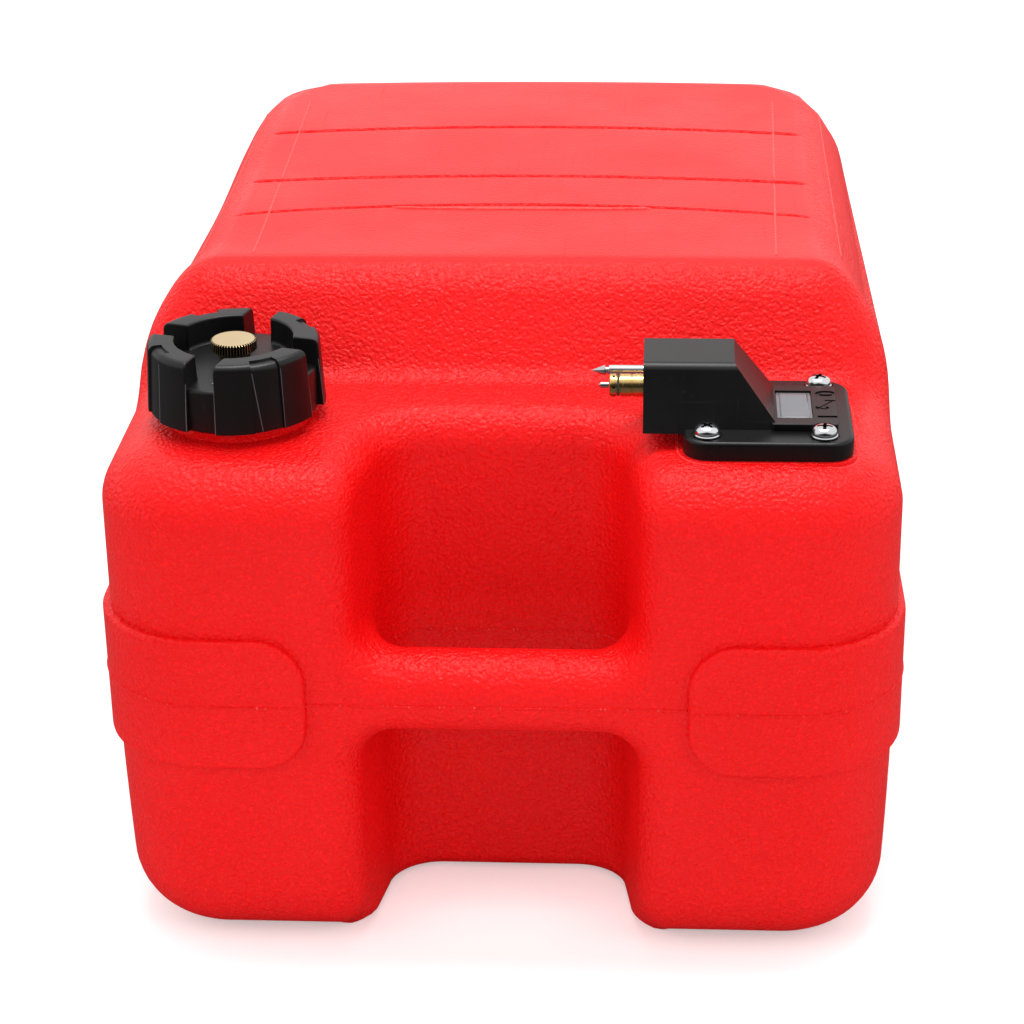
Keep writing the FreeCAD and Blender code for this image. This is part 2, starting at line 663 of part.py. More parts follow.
def vent_bush():
    low = CAP_ROOF_UNDER - VENT_BUSH_FLANGE
    bush = cylinder(VENT_BUSH_RADIUS, low, vent_bush_top(), CAP_X, CAP_Y)
    for z_low in (low, vent_bush_top() - VENT_BUSH_FLANGE):
        flange_radius = VENT_BUSH_RADIUS + VENT_BUSH_FLANGE
        bush = bush.fuse(cylinder(flange_radius, z_low, z_low + VENT_BUSH_FLANGE, CAP_X, CAP_Y))
    hole = cylinder(VENT_STEM_RADIUS + VENT_RUNNING_FIT, low - OVER, CAP_TOP, CAP_X, CAP_Y)
    return bush.cut(hole).removeSplitter()


def clip_top():
    return CAP_ROOF_UNDER - VENT_BUSH_FLANGE - VENT_TRAVEL - FIT_GAP


def vent_screw():
    knob_top = knob_low() + VENT_KNOB_HEIGHT
    tip = clip_top() - CLIP_THICKNESS - VENT_TIP_LENGTH
    outline = [
        (0, tip),
        (VENT_STEM_RADIUS - VENT_TIP_BEVEL, tip),
        (VENT_STEM_RADIUS, tip + VENT_TIP_BEVEL),
        (VENT_STEM_RADIUS, knob_low()),
        (VENT_KNOB_RADIUS - VENT_KNOB_BEVEL, knob_low()),
        (VENT_KNOB_RADIUS, knob_low() + VENT_KNOB_BEVEL),
        (VENT_KNOB_RADIUS, knob_top - VENT_KNOB_BEVEL),
        (VENT_KNOB_RADIUS - VENT_KNOB_BEVEL, knob_top),
        (0, knob_top),
    ]
    return revolve_profile(outline, CAP_X, CAP_Y)


def vent_ring():
    """Rubber ring that the knob presses on the bush."""
    inner = VENT_STEM_RADIUS + VENT_RING_CLEARANCE
    return tube(VENT_RING_RADIUS, inner, vent_bush_top(), knob_low(), CAP_X, CAP_Y)


def vent_clip():
    inner = VENT_STEM_RADIUS + FIT_GAP / 2
    half_mouth = inner * CLIP_MOUTH
    ring = tube(CLIP_RADIUS, inner, clip_top() - CLIP_THICKNESS, clip_top(), CAP_X, CAP_Y)
    mouth = box(
        (CAP_X - half_mouth, CAP_X + half_mouth), (CAP_Y - OVER, CAP_Y),
        (clip_top() - OVER, clip_top() + OVER)
    )
    return ring.cut(mouth)


# ---- Meter ----
def connector_block():
    """Block that carries the prongs: sloped at its right end, leaning back at the front."""
    left = BLOCK_END_X
    right = METER_X + BLOCK_RIGHT
    foot = METER_X + SLOPE_FOOT
    y_front = METER_Y + BLOCK_FRONT
    y_back = y_front + BLOCK_DEPTH
    across = [
        (left, y_front, PLATE_TOP), (left, y_front, BLOCK_TOP), (right, y_front, BLOCK_TOP),
        (foot, y_front, STEP_TOP), (foot, y_front, PLATE_TOP),
    ]
    along = [
        (left, y_front, PLATE_TOP), (left, y_front + BLOCK_FRONT_LEAN, BLOCK_TOP),
        (left, y_back - BLOCK_BACK_LEAN, BLOCK_TOP), (left, y_back, PLATE_TOP),
    ]
    block = extruded(across, Vector(0, BLOCK_DEPTH, 0))
    block = block.common(extruded(along, Vector(foot - left, 0, 0)))
    top_edges = []
    for edge in block.Edges:
        bounds = edge.BoundBox
        if bounds.YLength < TOUCH and bounds.ZLength < TOUCH and abs(bounds.ZMax - BLOCK_TOP) < TOUCH:
            top_edges.append(edge)
    return block.makeFillet(BLOCK_EDGE_RADIUS, top_edges)


def raised_field():
    """Field round the window, level with the foot of the block's slope."""
    y_front = METER_Y + BLOCK_FRONT
    field = box(
        (METER_X + SLOPE_FOOT - STEP_HEIGHT, METER_X + STEP_RIGHT), (y_front, METER_Y + STEP_BACK),
        (PLATE_TOP - FIT_GAP, STEP_TOP)
    )
    corner = [e for e in field.Edges if is_upright(e) and middle_of(e).x > METER_X + SLOPE_FOOT]
    return field.makeFillet(STEP_CORNER_RADIUS, corner)


def plate_slab(z_low, z_high):
    """The flange's outline between two heights."""
    return rounded_slab(PLATE_WIDTH, PLATE_DEPTH, z_low, z_high, PLATE_CORNER_RADIUS, METER_X, METER_Y)


def meter_housing():
    plate = plate_slab(PLATE_BOTTOM, PLATE_TOP)
    plate = plate.makeFillet(PLATE_BEVEL, edges_at_height(plate, PLATE_TOP))
    spigot_x = METER_X + PICKUP_X
    spigot = cylinder(SPIGOT_RADIUS, PLATE_BOTTOM - SPIGOT_LENGTH, PLATE_TOP, spigot_x, METER_Y)
    housing = plate.fuse([connector_block(), raised_field(), spigot] + pivot_ears())
    window_x = (METER_X + WINDOW_LEFT, METER_X + WINDOW_LEFT + WINDOW_WIDTH)
    window_y = (METER_Y - WINDOW_DEPTH / 2, METER_Y + WINDOW_DEPTH / 2)
    housing = housing.cut(box(window_x, window_y, (WINDOW_BOTTOM, BLOCK_TOP)))
    well = box(
        (window_x[0] + WINDOW_LEDGE, window_x[1] - WINDOW_LEDGE),
        (window_y[0] + WINDOW_LEDGE, window_y[1] - WINDOW_LEDGE), (PLATE_BOTTOM, WINDOW_BOTTOM)
    )
    middle = METER_X + DRUM_X
    half = DRUM_WIDTH / 2 + EAR_GAP
    drum_room = rod_x(DRUM_RADIUS + DRUM_BELOW_WINDOW, middle - half, middle + half, METER_Y, PIVOT_Z)
    housing = housing.cut([well, drum_room, fuel_way()])
    for radius, buried, y in (
        (NIPPLE_ROOT_RADIUS, NIPPLE_BURIED, NIPPLE_Y),
        (GUIDE_ROOT_RADIUS, GUIDE_BURIED, GUIDE_Y),
    ):
        housing = housing.cut(rod_x(radius, BLOCK_END_X - OVER, BLOCK_END_X + buried, y, PRONG_Z))
    for x, y in SCREW_PLACES:
        hole = cylinder(SCREW_RADIUS + FIT_GAP, PLATE_BOTTOM - OVER, PLATE_TOP + OVER / 2, x, y)
        room_top = PLATE_TOP + WASHER_THICKNESS + SCREW_HEAD_HEIGHT + SCREW_HEAD_ROOM
        washer_room = cylinder(WASHER_RADIUS + WASHER_CLEARANCE, PLATE_TOP, room_top, x, y)
        housing = housing.cut([hole, washer_room])
    reach = half + EAR_THICKNESS + OVER / 2
    return housing.cut(rod_x(PIVOT_RADIUS, middle - reach, middle + reach, METER_Y, PIVOT_Z))


def pivot_ears():
    """Two lugs under the plate that hold the pivot pin."""
    ears = []
    middle = METER_X + DRUM_X
    half = DRUM_WIDTH / 2 + EAR_GAP
    for low_x in (middle - half - EAR_THICKNESS, middle + half):
        span = (low_x, low_x + EAR_THICKNESS)
        round_end = rod_x(EAR_RADIUS, *span, METER_Y, PIVOT_Z)
        web = box(span, (METER_Y - EAR_RADIUS, METER_Y + EAR_RADIUS), (PIVOT_Z, PLATE_BOTTOM + FIT_GAP))
        ears.append(round_end.fuse(web))
    return ears


def fuel_way():
    """Drilling from the pickup spigot up and along to the nipple."""
    x = METER_X + PICKUP_X
    riser = cylinder(FUEL_WAY_RADIUS, PLATE_BOTTOM - SPIGOT_LENGTH - OVER, PRONG_Z, x, METER_Y)
    along = rod_x(FUEL_WAY_RADIUS, BLOCK_END_X, x + FUEL_WAY_RADIUS, NIPPLE_Y, PRONG_Z)
    reach = METER_Y - NIPPLE_Y
    across = Part.makeCylinder(FUEL_WAY_RADIUS, reach, Vector(x, NIPPLE_Y, PRONG_Z), Vector(0, 1, 0))
    return riser.fuse([along, across])


def housing_seal():
    seal = plate_slab(SEAT_TOP, PLATE_BOTTOM)
    seal = seal.cut(cylinder(METER_OPENING_RADIUS, INSIDE_DECK, PLATE_TOP, METER_X, METER_Y))
    for x, y in SCREW_PLACES:
        seal = seal.cut(cylinder(SCREW_RADIUS + FIT_GAP, INSIDE_DECK, PLATE_TOP, x, y))
    return seal


def mounting_screws():
    head_low = PLATE_TOP + WASHER_THICKNESS
    head_top = head_low + SCREW_HEAD_HEIGHT
    screws = []
    for x, y in SCREW_PLACES:
        head = cylinder(SCREW_HEAD_RADIUS, head_low, head_top, x, y)
        head = head.makeFillet(SCREW_HEAD_ROUNDING * SCREW_HEAD_HEIGHT, edges_at_height(head, head_top))
        shank = cylinder(SCREW_RADIUS, SEAT_TOP - INSERT_LENGTH, head_low, x, y)
        screws.append(head.fuse(shank).removeSplitter())
    return screws


def screw_washers():
    hole = SCREW_RADIUS + FIT_GAP
    high = PLATE_TOP + WASHER_THICKNESS
    return [tube(WASHER_RADIUS, hole, PLATE_TOP, high, x, y) for x, y in SCREW_PLACES]


def gauge_window():
    x_low = METER_X + WINDOW_LEFT
    y_low = METER_Y - WINDOW_DEPTH / 2
    return box((x_low, x_low + WINDOW_WIDTH), (y_low, y_low + WINDOW_DEPTH), (WINDOW_BOTTOM, WINDOW_TOP))


# ---- Connector prongs ----
def turned_rod(points, y):
    """Closed (x, radius) outline turned about the prong axis at this y."""
    outline = Part.makePolygon([Vector(x, 0, r) for x, r in points + points[:1]])
    solid = Part.Face(outline).revolve(Vector(0, 0, 0), Vector(1, 0, 0), 360)
    solid.translate(Vector(0, y, PRONG_Z))
    return solid


def ring_span():
    start = NIPPLE_TIP + NIPPLE_RING_FROM_END - NIPPLE_RING_WIDTH / 2
    return (start, start + NIPPLE_RING_WIDTH)


def fuel_nipple():
    end = BLOCK_END_X + NIPPLE_BURIED
    ring_start, ring_end = ring_span()
    outline = [
        (NIPPLE_TIP, 0),
        (NIPPLE_TIP, NIPPLE_RADIUS - NIPPLE_TIP_BEVEL),
        (NIPPLE_TIP + NIPPLE_TIP_BEVEL, NIPPLE_RADIUS),
        (ring_start, NIPPLE_RADIUS),
        (ring_start, NIPPLE_RADIUS - NIPPLE_GROOVE),
        (ring_end, NIPPLE_RADIUS - NIPPLE_GROOVE),
        (ring_end, NIPPLE_RADIUS),
        (BLOCK_END_X, NIPPLE_RADIUS),
        (BLOCK_END_X, NIPPLE_ROOT_RADIUS),
        (end, NIPPLE_ROOT_RADIUS),
        (end, 0),
    ]
    chamber = rod_x(NIPPLE_BORE_RADIUS, VALVE_SEAT, SPRING_END, NIPPLE_Y, PRONG_Z)
    outlet = rod_x(VALVE_HEAD_RADIUS - SPRING_WIRE, SPRING_END, end + OVER, NIPPLE_Y, PRONG_Z)
    pin_hole = rod_x(VALVE_PIN_RADIUS + VALVE_FIT, NIPPLE_TIP - OVER, VALVE_SEAT, NIPPLE_Y, PRONG_Z)
    return turned_rod(outline, NIPPLE_Y).cut([chamber, outlet, pin_hole])


def nipple_ring():
    """Seal ring in the nipple's groove, flush with the tube."""
    ring = rod_x(NIPPLE_RADIUS, *ring_span(), NIPPLE_Y, PRONG_Z)
    return ring.cut(rod_x(NIPPLE_RADIUS - NIPPLE_GROOVE, *ring_span(), NIPPLE_Y, PRONG_Z))


def valve_pin():
    tip = NIPPLE_TIP - VALVE_PIN_PROUD
    outline = [
        (tip, 0),
        (tip, VALVE_PIN_RADIUS - VALVE_PIN_BEVEL),
        (tip + VALVE_PIN_BEVEL, VALVE_PIN_RADIUS),
        (VALVE_SEAT, VALVE_PIN_RADIUS),
        (VALVE_SEAT, VALVE_HEAD_RADIUS),
        (SPRING_START, VALVE_HEAD_RADIUS),
        (SPRING_START, 0),
    ]
    return turned_rod(outline, NIPPLE_Y)


def valve_spring():
    length = SPRING_END - SPRING_START - SPRING_WIRE
    radius = VALVE_HEAD_RADIUS - SPRING_WIRE / 2
    helix = Part.makeHelix(length / SPRING_TURNS, length, radius)
    section = Part.Wire(Part.makeCircle(SPRING_WIRE / 2, Vector(radius, 0, 0), Vector(0, 1, 0)))
    spring = Part.Wire(helix.Edges).makePipeShell([section], True, True)
    spring.rotate(Vector(0, 0, 0), Vector(0, 1, 0), 90)
    spring.translate(Vector(SPRING_START + SPRING_WIRE / 2, NIPPLE_Y, PRONG_Z))
    return spring


def guide_pin():
    tip = BLOCK_END_X - GUIDE_EXPOSED
    head_end = tip + GUIDE_HEAD_LENGTH
    neck_end = head_end + GUIDE_NECK_LENGTH
    outline = [
        (tip, 0),
        (tip, GUIDE_TIP_RADIUS),
        (head_end, GUIDE_RADIUS),
        (head_end + GUIDE_NECK_BEVEL, GUIDE_NECK_RADIUS),
        (neck_end - GUIDE_NECK_BEVEL, GUIDE_NECK_RADIUS),
        (neck_end, GUIDE_RADIUS),
        (BLOCK_END_X, GUIDE_RADIUS),
        (BLOCK_END_X, GUIDE_ROOT_RADIUS),
        (BLOCK_END_X + GUIDE_BURIED, GUIDE_ROOT_RADIUS),
        (BLOCK_END_X + GUIDE_BURIED, 0),
    ]
    return turned_rod(outline, GUIDE_Y)


# ---- Float gauge ----
def drum_middle():
    return METER_X + DRUM_X


def gauge_drum():
    low = drum_middle() - DRUM_WIDTH / 2
    high = drum_middle() + DRUM_WIDTH / 2
    drum = rod_x(DRUM_RADIUS, low, high, METER_Y, PIVOT_Z)
    drum = drum.cut(rod_x(DRUM_RADIUS - DRUM_WALL, low + DRUM_WALL, high, METER_Y, PIVOT_Z))
    drum = drum.fuse(rod_x(DRUM_HUB_RADIUS, low, high, METER_Y, PIVOT_Z))
    drum = drum.cut(rod_x(PIVOT_RADIUS + PIVOT_FIT, low - OVER, high + OVER, METER_Y, PIVOT_Z))
    return drum.cut(arm_line(0, DRUM_RADIUS + OVER, ARM_RADIUS))


def pivot_pin():
    half = DRUM_WIDTH / 2 + EAR_GAP + EAR_THICKNESS
    return rod_x(PIVOT_RADIUS, drum_middle() - half, drum_middle() + half, METER_Y, PIVOT_Z)


def arm_direction():
    angle = math.radians(ARM_REST_ANGLE)
    return Vector(0, math.cos(angle), math.sin(angle))


def arm_line(start, length, radius):
    """Rod along the float arm, from a distance off the pivot."""
    base = Vector(drum_middle(), METER_Y, PIVOT_Z) + arm_direction() * start
    return Part.makeCylinder(radius, length, base, arm_direction())


def float_arm():
    start = PIVOT_RADIUS + PIVOT_FIT + ARM_SEAT
    end = ARM_LENGTH + FLOAT_LENGTH / 2 + FLOAT_CLIP_THICKNESS + ARM_END
    return arm_line(start, end - start, ARM_RADIUS)


def float_body():
    block = Part.makeBox(FLOAT_WIDTH, FLOAT_LENGTH, FLOAT_THICKNESS)
    block.translate(Vector(-FLOAT_WIDTH / 2, -FLOAT_LENGTH / 2, -FLOAT_THICKNESS / 2))
    block = block.makeFillet(FLOAT_EDGE_RADIUS, block.Edges)
    bore_start = Vector(0, -FLOAT_LENGTH, 0)
    block = block.cut(Part.makeCylinder(ARM_RADIUS, 2 * FLOAT_LENGTH, bore_start, Vector(0, 1, 0)))
    block.rotate(Vector(0, 0, 0), Vector(1, 0, 0), ARM_REST_ANGLE)
    block.translate(Vector(drum_middle(), METER_Y, PIVOT_Z) + arm_direction() * ARM_LENGTH)
    return block


def float_clips():
    """Push-on washers that hold the float on its arm."""
    clips = []
    half = FLOAT_LENGTH / 2
    for start in (ARM_LENGTH - half - FLOAT_CLIP_THICKNESS, ARM_LENGTH + half):
        disc = arm_line(start, FLOAT_CLIP_THICKNESS, FLOAT_CLIP_RADIUS)
        clips.append(disc.cut(arm_line(start - OVER, 2 * OVER, ARM_RADIUS)))
    return clips


# ---- Fuel pickup ----
def pickup_tube():
    outer = PICKUP_INNER_RADIUS + PICKUP_WALL
    low = INSIDE_FLOOR + PICKUP_ABOVE_FLOOR
    high = PLATE_BOTTOM - PICKUP_BELOW_PLATE
    return tube(outer, PICKUP_INNER_RADIUS, low, high, METER_X + PICKUP_X, METER_Y)


def tube_clamp():
    inner = PICKUP_INNER_RADIUS + PICKUP_WALL
    high = PLATE_BOTTOM - CLAMP_BELOW_PLATE
    return tube(inner + CLAMP_THICKNESS, inner, high - CLAMP_WIDTH, high, METER_X + PICKUP_X, METER_Y)


def pickup_strainer():
    x = METER_X + PICKUP_X
    low = INSIDE_FLOOR + STRAINER_ABOVE_FLOOR
    high = low + STRAINER_HEIGHT
    cup = cylinder(STRAINER_RADIUS, low, high, x, METER_Y)
    inner = STRAINER_RADIUS - STRAINER_WALL
    tube_outer = PICKUP_INNER_RADIUS + PICKUP_WALL
    cup = cup.cut(cylinder(inner, low + STRAINER_WALL, high - STRAINER_WALL, x, METER_Y))
    cup = cup.cut(cylinder(tube_outer, high - 2 * STRAINER_WALL, high + OVER, x, METER_Y))
    slot_low = low + 2 * STRAINER_WALL
    slot_high = high - 2 * STRAINER_WALL
    for i in range(STRAINER_SLOTS // 2):
        slot = box(
            (x - 2 * STRAINER_RADIUS, x + 2 * STRAINER_RADIUS),
            (METER_Y - STRAINER_SLOT_WIDTH / 2, METER_Y + STRAINER_SLOT_WIDTH / 2), (slot_low, slot_high)
        )
        slot.rotate(Vector(x, METER_Y, 0), Vector(0, 0, 1), 360 / STRAINER_SLOTS * i)
        cup = cup.cut(slot)
    return cup


NODES = {
    "tank_shell": tank_shell,
    "threaded_inserts": threaded_inserts,
    "filler_cap": filler_cap,
    "cap_gasket": cap_gasket,
    "vent_bush": vent_bush,
    "vent_screw": vent_screw,
    "vent_ring": vent_ring,
    "vent_clip": vent_clip,
    "meter_housing": meter_housing,
    "housing_seal": housing_seal,
    "mounting_screws": mounting_screws,
    "screw_washers": screw_washers,
    "gauge_window": gauge_window,
    "gauge_drum": gauge_drum,
    "pivot_pin": pivot_pin,
    "float_arm": float_arm,
    "float_body": float_body,
    "float_clips": float_clips,
    "pickup_tube": pickup_tube,
    "tube_clamp": tube_clamp,
    "pickup_strainer": pickup_strainer,
    "fuel_nipple": fuel_nipple,
    "nipple_ring": nipple_ring,
    "valve_pin": valve_pin,
    "valve_spring": valve_spring,
    "guide_pin": guide_pin,
}


def main():
    os.makedirs("parts", exist_ok=True)
    for name, make in NODES.items():
        made = make()
        shape = Part.makeCompound(made) if isinstance(made, list) else made
        shape.exportStep(f"parts/{name}.step")
        bounds = shape.BoundBox
        print(
            f"{name}: {len(shape.Solids)} solid(s), valid {shape.isValid()}, {shape.Volume / 1000:.2f} cm3, "
            f"X {bounds.XMin:.1f} {bounds.XMax:.1f} Y {bounds.YMin:.1f} {bounds.YMax:.1f} "
            f"Z {bounds.ZMin:.1f} {bounds.ZMax:.1f}"
        )


main()
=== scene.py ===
"""Portable outboard fuel tank: looks, light and camera."""
import json
import math
import random
import bmesh
import bpy
import numpy as np
from mathutils import Matrix, Vector
from mathutils.bvhtree import BVHTree

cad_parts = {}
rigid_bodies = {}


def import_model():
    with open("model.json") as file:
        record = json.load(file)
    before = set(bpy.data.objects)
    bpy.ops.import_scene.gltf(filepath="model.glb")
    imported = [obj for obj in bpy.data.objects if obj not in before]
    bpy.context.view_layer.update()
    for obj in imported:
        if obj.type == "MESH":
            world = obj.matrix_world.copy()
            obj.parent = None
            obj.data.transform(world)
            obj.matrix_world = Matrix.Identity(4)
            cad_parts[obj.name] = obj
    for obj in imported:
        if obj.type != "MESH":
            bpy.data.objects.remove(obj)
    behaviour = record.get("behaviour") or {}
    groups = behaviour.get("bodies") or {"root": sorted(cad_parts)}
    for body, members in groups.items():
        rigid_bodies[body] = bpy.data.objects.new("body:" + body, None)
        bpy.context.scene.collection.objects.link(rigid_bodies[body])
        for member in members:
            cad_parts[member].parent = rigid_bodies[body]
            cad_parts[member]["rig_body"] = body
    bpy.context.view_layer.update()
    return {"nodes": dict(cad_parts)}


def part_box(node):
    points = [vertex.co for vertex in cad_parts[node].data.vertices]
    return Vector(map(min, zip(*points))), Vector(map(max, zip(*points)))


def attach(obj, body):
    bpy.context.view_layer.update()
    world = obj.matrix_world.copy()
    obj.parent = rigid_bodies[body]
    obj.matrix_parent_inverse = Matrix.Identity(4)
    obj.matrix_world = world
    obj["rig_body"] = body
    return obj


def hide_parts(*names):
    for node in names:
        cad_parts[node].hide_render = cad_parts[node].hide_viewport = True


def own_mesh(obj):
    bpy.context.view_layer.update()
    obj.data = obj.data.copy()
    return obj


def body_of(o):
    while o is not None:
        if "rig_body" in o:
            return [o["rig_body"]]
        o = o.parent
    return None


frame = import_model()
NODES = frame["nodes"]

IMAGE_WIDTH = 1024
SENSOR_WIDTH = 36.0
MM = 0.001

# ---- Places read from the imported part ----
TANK_LOW, TANK_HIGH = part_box("tank_shell")
TANK_TOP = TANK_HIGH.z
PARTING_Z = 108 * MM
FRONT_Y = TANK_LOW.y + 3 * MM            # front face, behind the pads
CHANNEL_BACK_Y = FRONT_Y + 63 * MM
CREASE_LINES = (FRONT_Y + 205 * MM, FRONT_Y + 249 * MM, FRONT_Y + 316 * MM)
DECK_FLAT_HALF = 106.5 * MM              # where the upper deck's side rounding starts
DECK_ROUNDING = 22 * MM


def middle(node):
    low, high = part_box(node)
    return (low + high) / 2


CAP = middle("vent_ring")
CAP_LOW, CAP_HIGH = (corner.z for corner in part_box("filler_cap"))
PLATE_LOW, PLATE_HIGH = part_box("housing_seal")


# ---- Mesh helpers ----
def add_object(name, mesh):
    thing = bpy.data.objects.new(name, mesh)
    bpy.context.scene.collection.objects.link(thing)
    return thing


def shade(mesh, sharp_degrees=35.0):
    """Smooth faces that stay crisp along edges sharper than this."""
    form = bmesh.new()
    form.from_mesh(mesh)
    limit = math.radians(sharp_degrees)
    for face in form.faces:
        face.smooth = True
    for edge in form.edges:
        edge.smooth = len(edge.link_faces) == 2 and edge.calc_face_angle() < limit
    form.to_mesh(mesh)
    form.free()


def finish_piece(name, mesh, material, body, replaced=()):
    mesh.name = name
    mesh.materials.clear()
    mesh.materials.append(material)
    thing = add_object(name, mesh)
    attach(thing, body)
    if replaced:
        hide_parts(*replaced)
    return thing


def even_normals(thing):
    """Flat faces keep flat shading next to small rounded ones."""
    weighting = thing.modifiers.new("weighting", "WEIGHTED_NORMAL")
    weighting.keep_sharp = True
    weighting.weight = 80
    return thing


def merged_copy(node):
    """A node's mesh with its loose triangles joined."""
    mesh = NODES[node].data.copy()
    form = bmesh.new()
    form.from_mesh(mesh)
    bmesh.ops.remove_doubles(form, verts=form.verts, dist=2e-6)
    form.to_mesh(mesh)
    form.free()
    return mesh


def mesh_from(points, faces, name="part"):
    mesh = bpy.data.meshes.new(name)
    mesh.from_pydata([tuple(p) for p in points], [], faces)
    form = bmesh.new()
    form.from_mesh(mesh)
    bmesh.ops.remove_doubles(form, verts=form.verts, dist=1e-7)
    bmesh.ops.dissolve_degenerate(form, edges=form.edges, dist=1e-7)
    bmesh.ops.recalc_face_normals(form, faces=form.faces)
    form.to_mesh(mesh)
    form.free()
    return mesh


def joined(meshes, name="part"):
    """One mesh from several."""
    form = bmesh.new()
    for mesh in meshes:
        form.from_mesh(mesh)
    result = bpy.data.meshes.new(name)
    form.to_mesh(result)
    form.free()
    return result


def moved(mesh, matrix):
    mesh.transform(matrix)
    return mesh


def evaluated(thing):
    """The mesh an object's modifiers make; the object is removed."""
    graph = bpy.context.evaluated_depsgraph_get()
    mesh = bpy.data.meshes.new_from_object(thing.evaluated_get(graph), depsgraph=graph)
    old = thing.data
    bpy.data.objects.remove(thing)
    if isinstance(old, bpy.types.Mesh) and not old.users:
        bpy.data.meshes.remove(old)
    return mesh


def bevelled(mesh, width, segments=2, degrees=30.0):
    thing = add_object("bevel_source", mesh)
    bevel = thing.modifiers.new("bevel", "BEVEL")
    bevel.width = width
    bevel.segments = segments
    bevel.limit_method = "ANGLE"
    bevel.angle_limit = math.radians(degrees)
    bevel.miter_outer = "MITER_ARC"
    return evaluated(thing)


def cut_away(mesh, tools):
    """The mesh with each tool mesh cut out of it."""
    thing = add_object("cut_source", mesh)
    helpers = []
    for tool in tools:
        helper = add_object("cutter", tool)
        helper.hide_render = True
        step = thing.modifiers.new("cut", "BOOLEAN")
        step.operation = "DIFFERENCE"
        step.solver = "EXACT"
        step.object = helper
        helpers.append(helper)
    result = evaluated(thing)
    for helper in helpers:
        old = helper.data
        bpy.data.objects.remove(helper)
        bpy.data.meshes.remove(old)
    return result


def turned(profile, centre, axis="Z", count=64, wobble=None):
    """Outline of (radius, height) pairs turned about an axis through centre.

    wobble gives the change of radius for an outline point number and an angle.
    """
    points, faces = [], []
    rows = len(profile)
    for step in range(count):
        angle = 2 * math.pi * step / count
        for row, (radius, height) in enumerate(profile):
            if wobble:
                radius += wobble(row, angle)
            across, up = radius * math.cos(angle), radius * math.sin(angle)
            local = (across, up, height) if axis == "Z" else (height, across, up)
            points.append(Vector(centre) + Vector(local))
    for step in range(count):
        a, b = step * rows, (step + 1) % count * rows
        for row in range(rows - 1):
            faces.append((a + row, b + row, b + row + 1, a + row + 1))
    return mesh_from(points, faces)


def rounded_rectangle(width, depth, radius, steps=8):
    """Corner points of a rounded rectangle about the origin, anticlockwise."""
    points = []
    for sx, sy, start in ((1, 1, 0), (-1, 1, 90), (-1, -1, 180), (1, -1, 270)):
        for step in range(steps + 1):
            angle = math.radians(start + 90 * step / steps)
            points.append((
                sx * (width / 2 - radius) + radius * math.cos(angle),
                sy * (depth / 2 - radius) + radius * math.sin(angle),
            ))
    return points


def loft(rings, closed_ends=True):
    """Faces between rings of equal length."""
    count = len(rings[0])
    points = [Vector(point) for ring in rings for point in ring]
    faces = []
    for level in range(len(rings) - 1):
        for step in range(count):
            a, b = level * count + step, level * count + (step + 1) % count
            faces.append((a, b, b + count, a + count))
    if closed_ends:
        faces.append(tuple(range(count))[::-1])
        faces.append(tuple(len(points) - count + i for i in range(count)))
    return mesh_from(points, faces)


def rounded_plate(centre, width, depth, radius, z_low, z_high, bevel, steps=3):
    """Flat plate with rounded corners and a rounded upper rim."""
    levels = [(0.0, z_low)]
    for step in range(steps + 1):
        angle = math.pi / 2 * step / steps
        levels.append((bevel * (1 - math.cos(angle)), z_high - bevel * (1 - math.sin(angle))))
    rings = []
    for inset, z in levels:
        outline = rounded_rectangle(width - 2 * inset, depth - 2 * inset, max(radius - inset, 1e-4))
        rings.append([(centre.x + x, centre.y + y, z) for x, y in outline])
    return loft(rings)


def box_mesh(low, high):
    (x0, y0, z0), (x1, y1, z1) = low, high
    points = [(x, y, z) for z in (z0, z1) for x, y in ((x0, y0), (x1, y0), (x1, y1), (x0, y1))]
    faces = [(3, 2, 1, 0), (4, 5, 6, 7), (0, 1, 5, 4), (1, 2, 6, 5), (2, 3, 7, 6), (3, 0, 4, 7)]
    return mesh_from(points, faces)


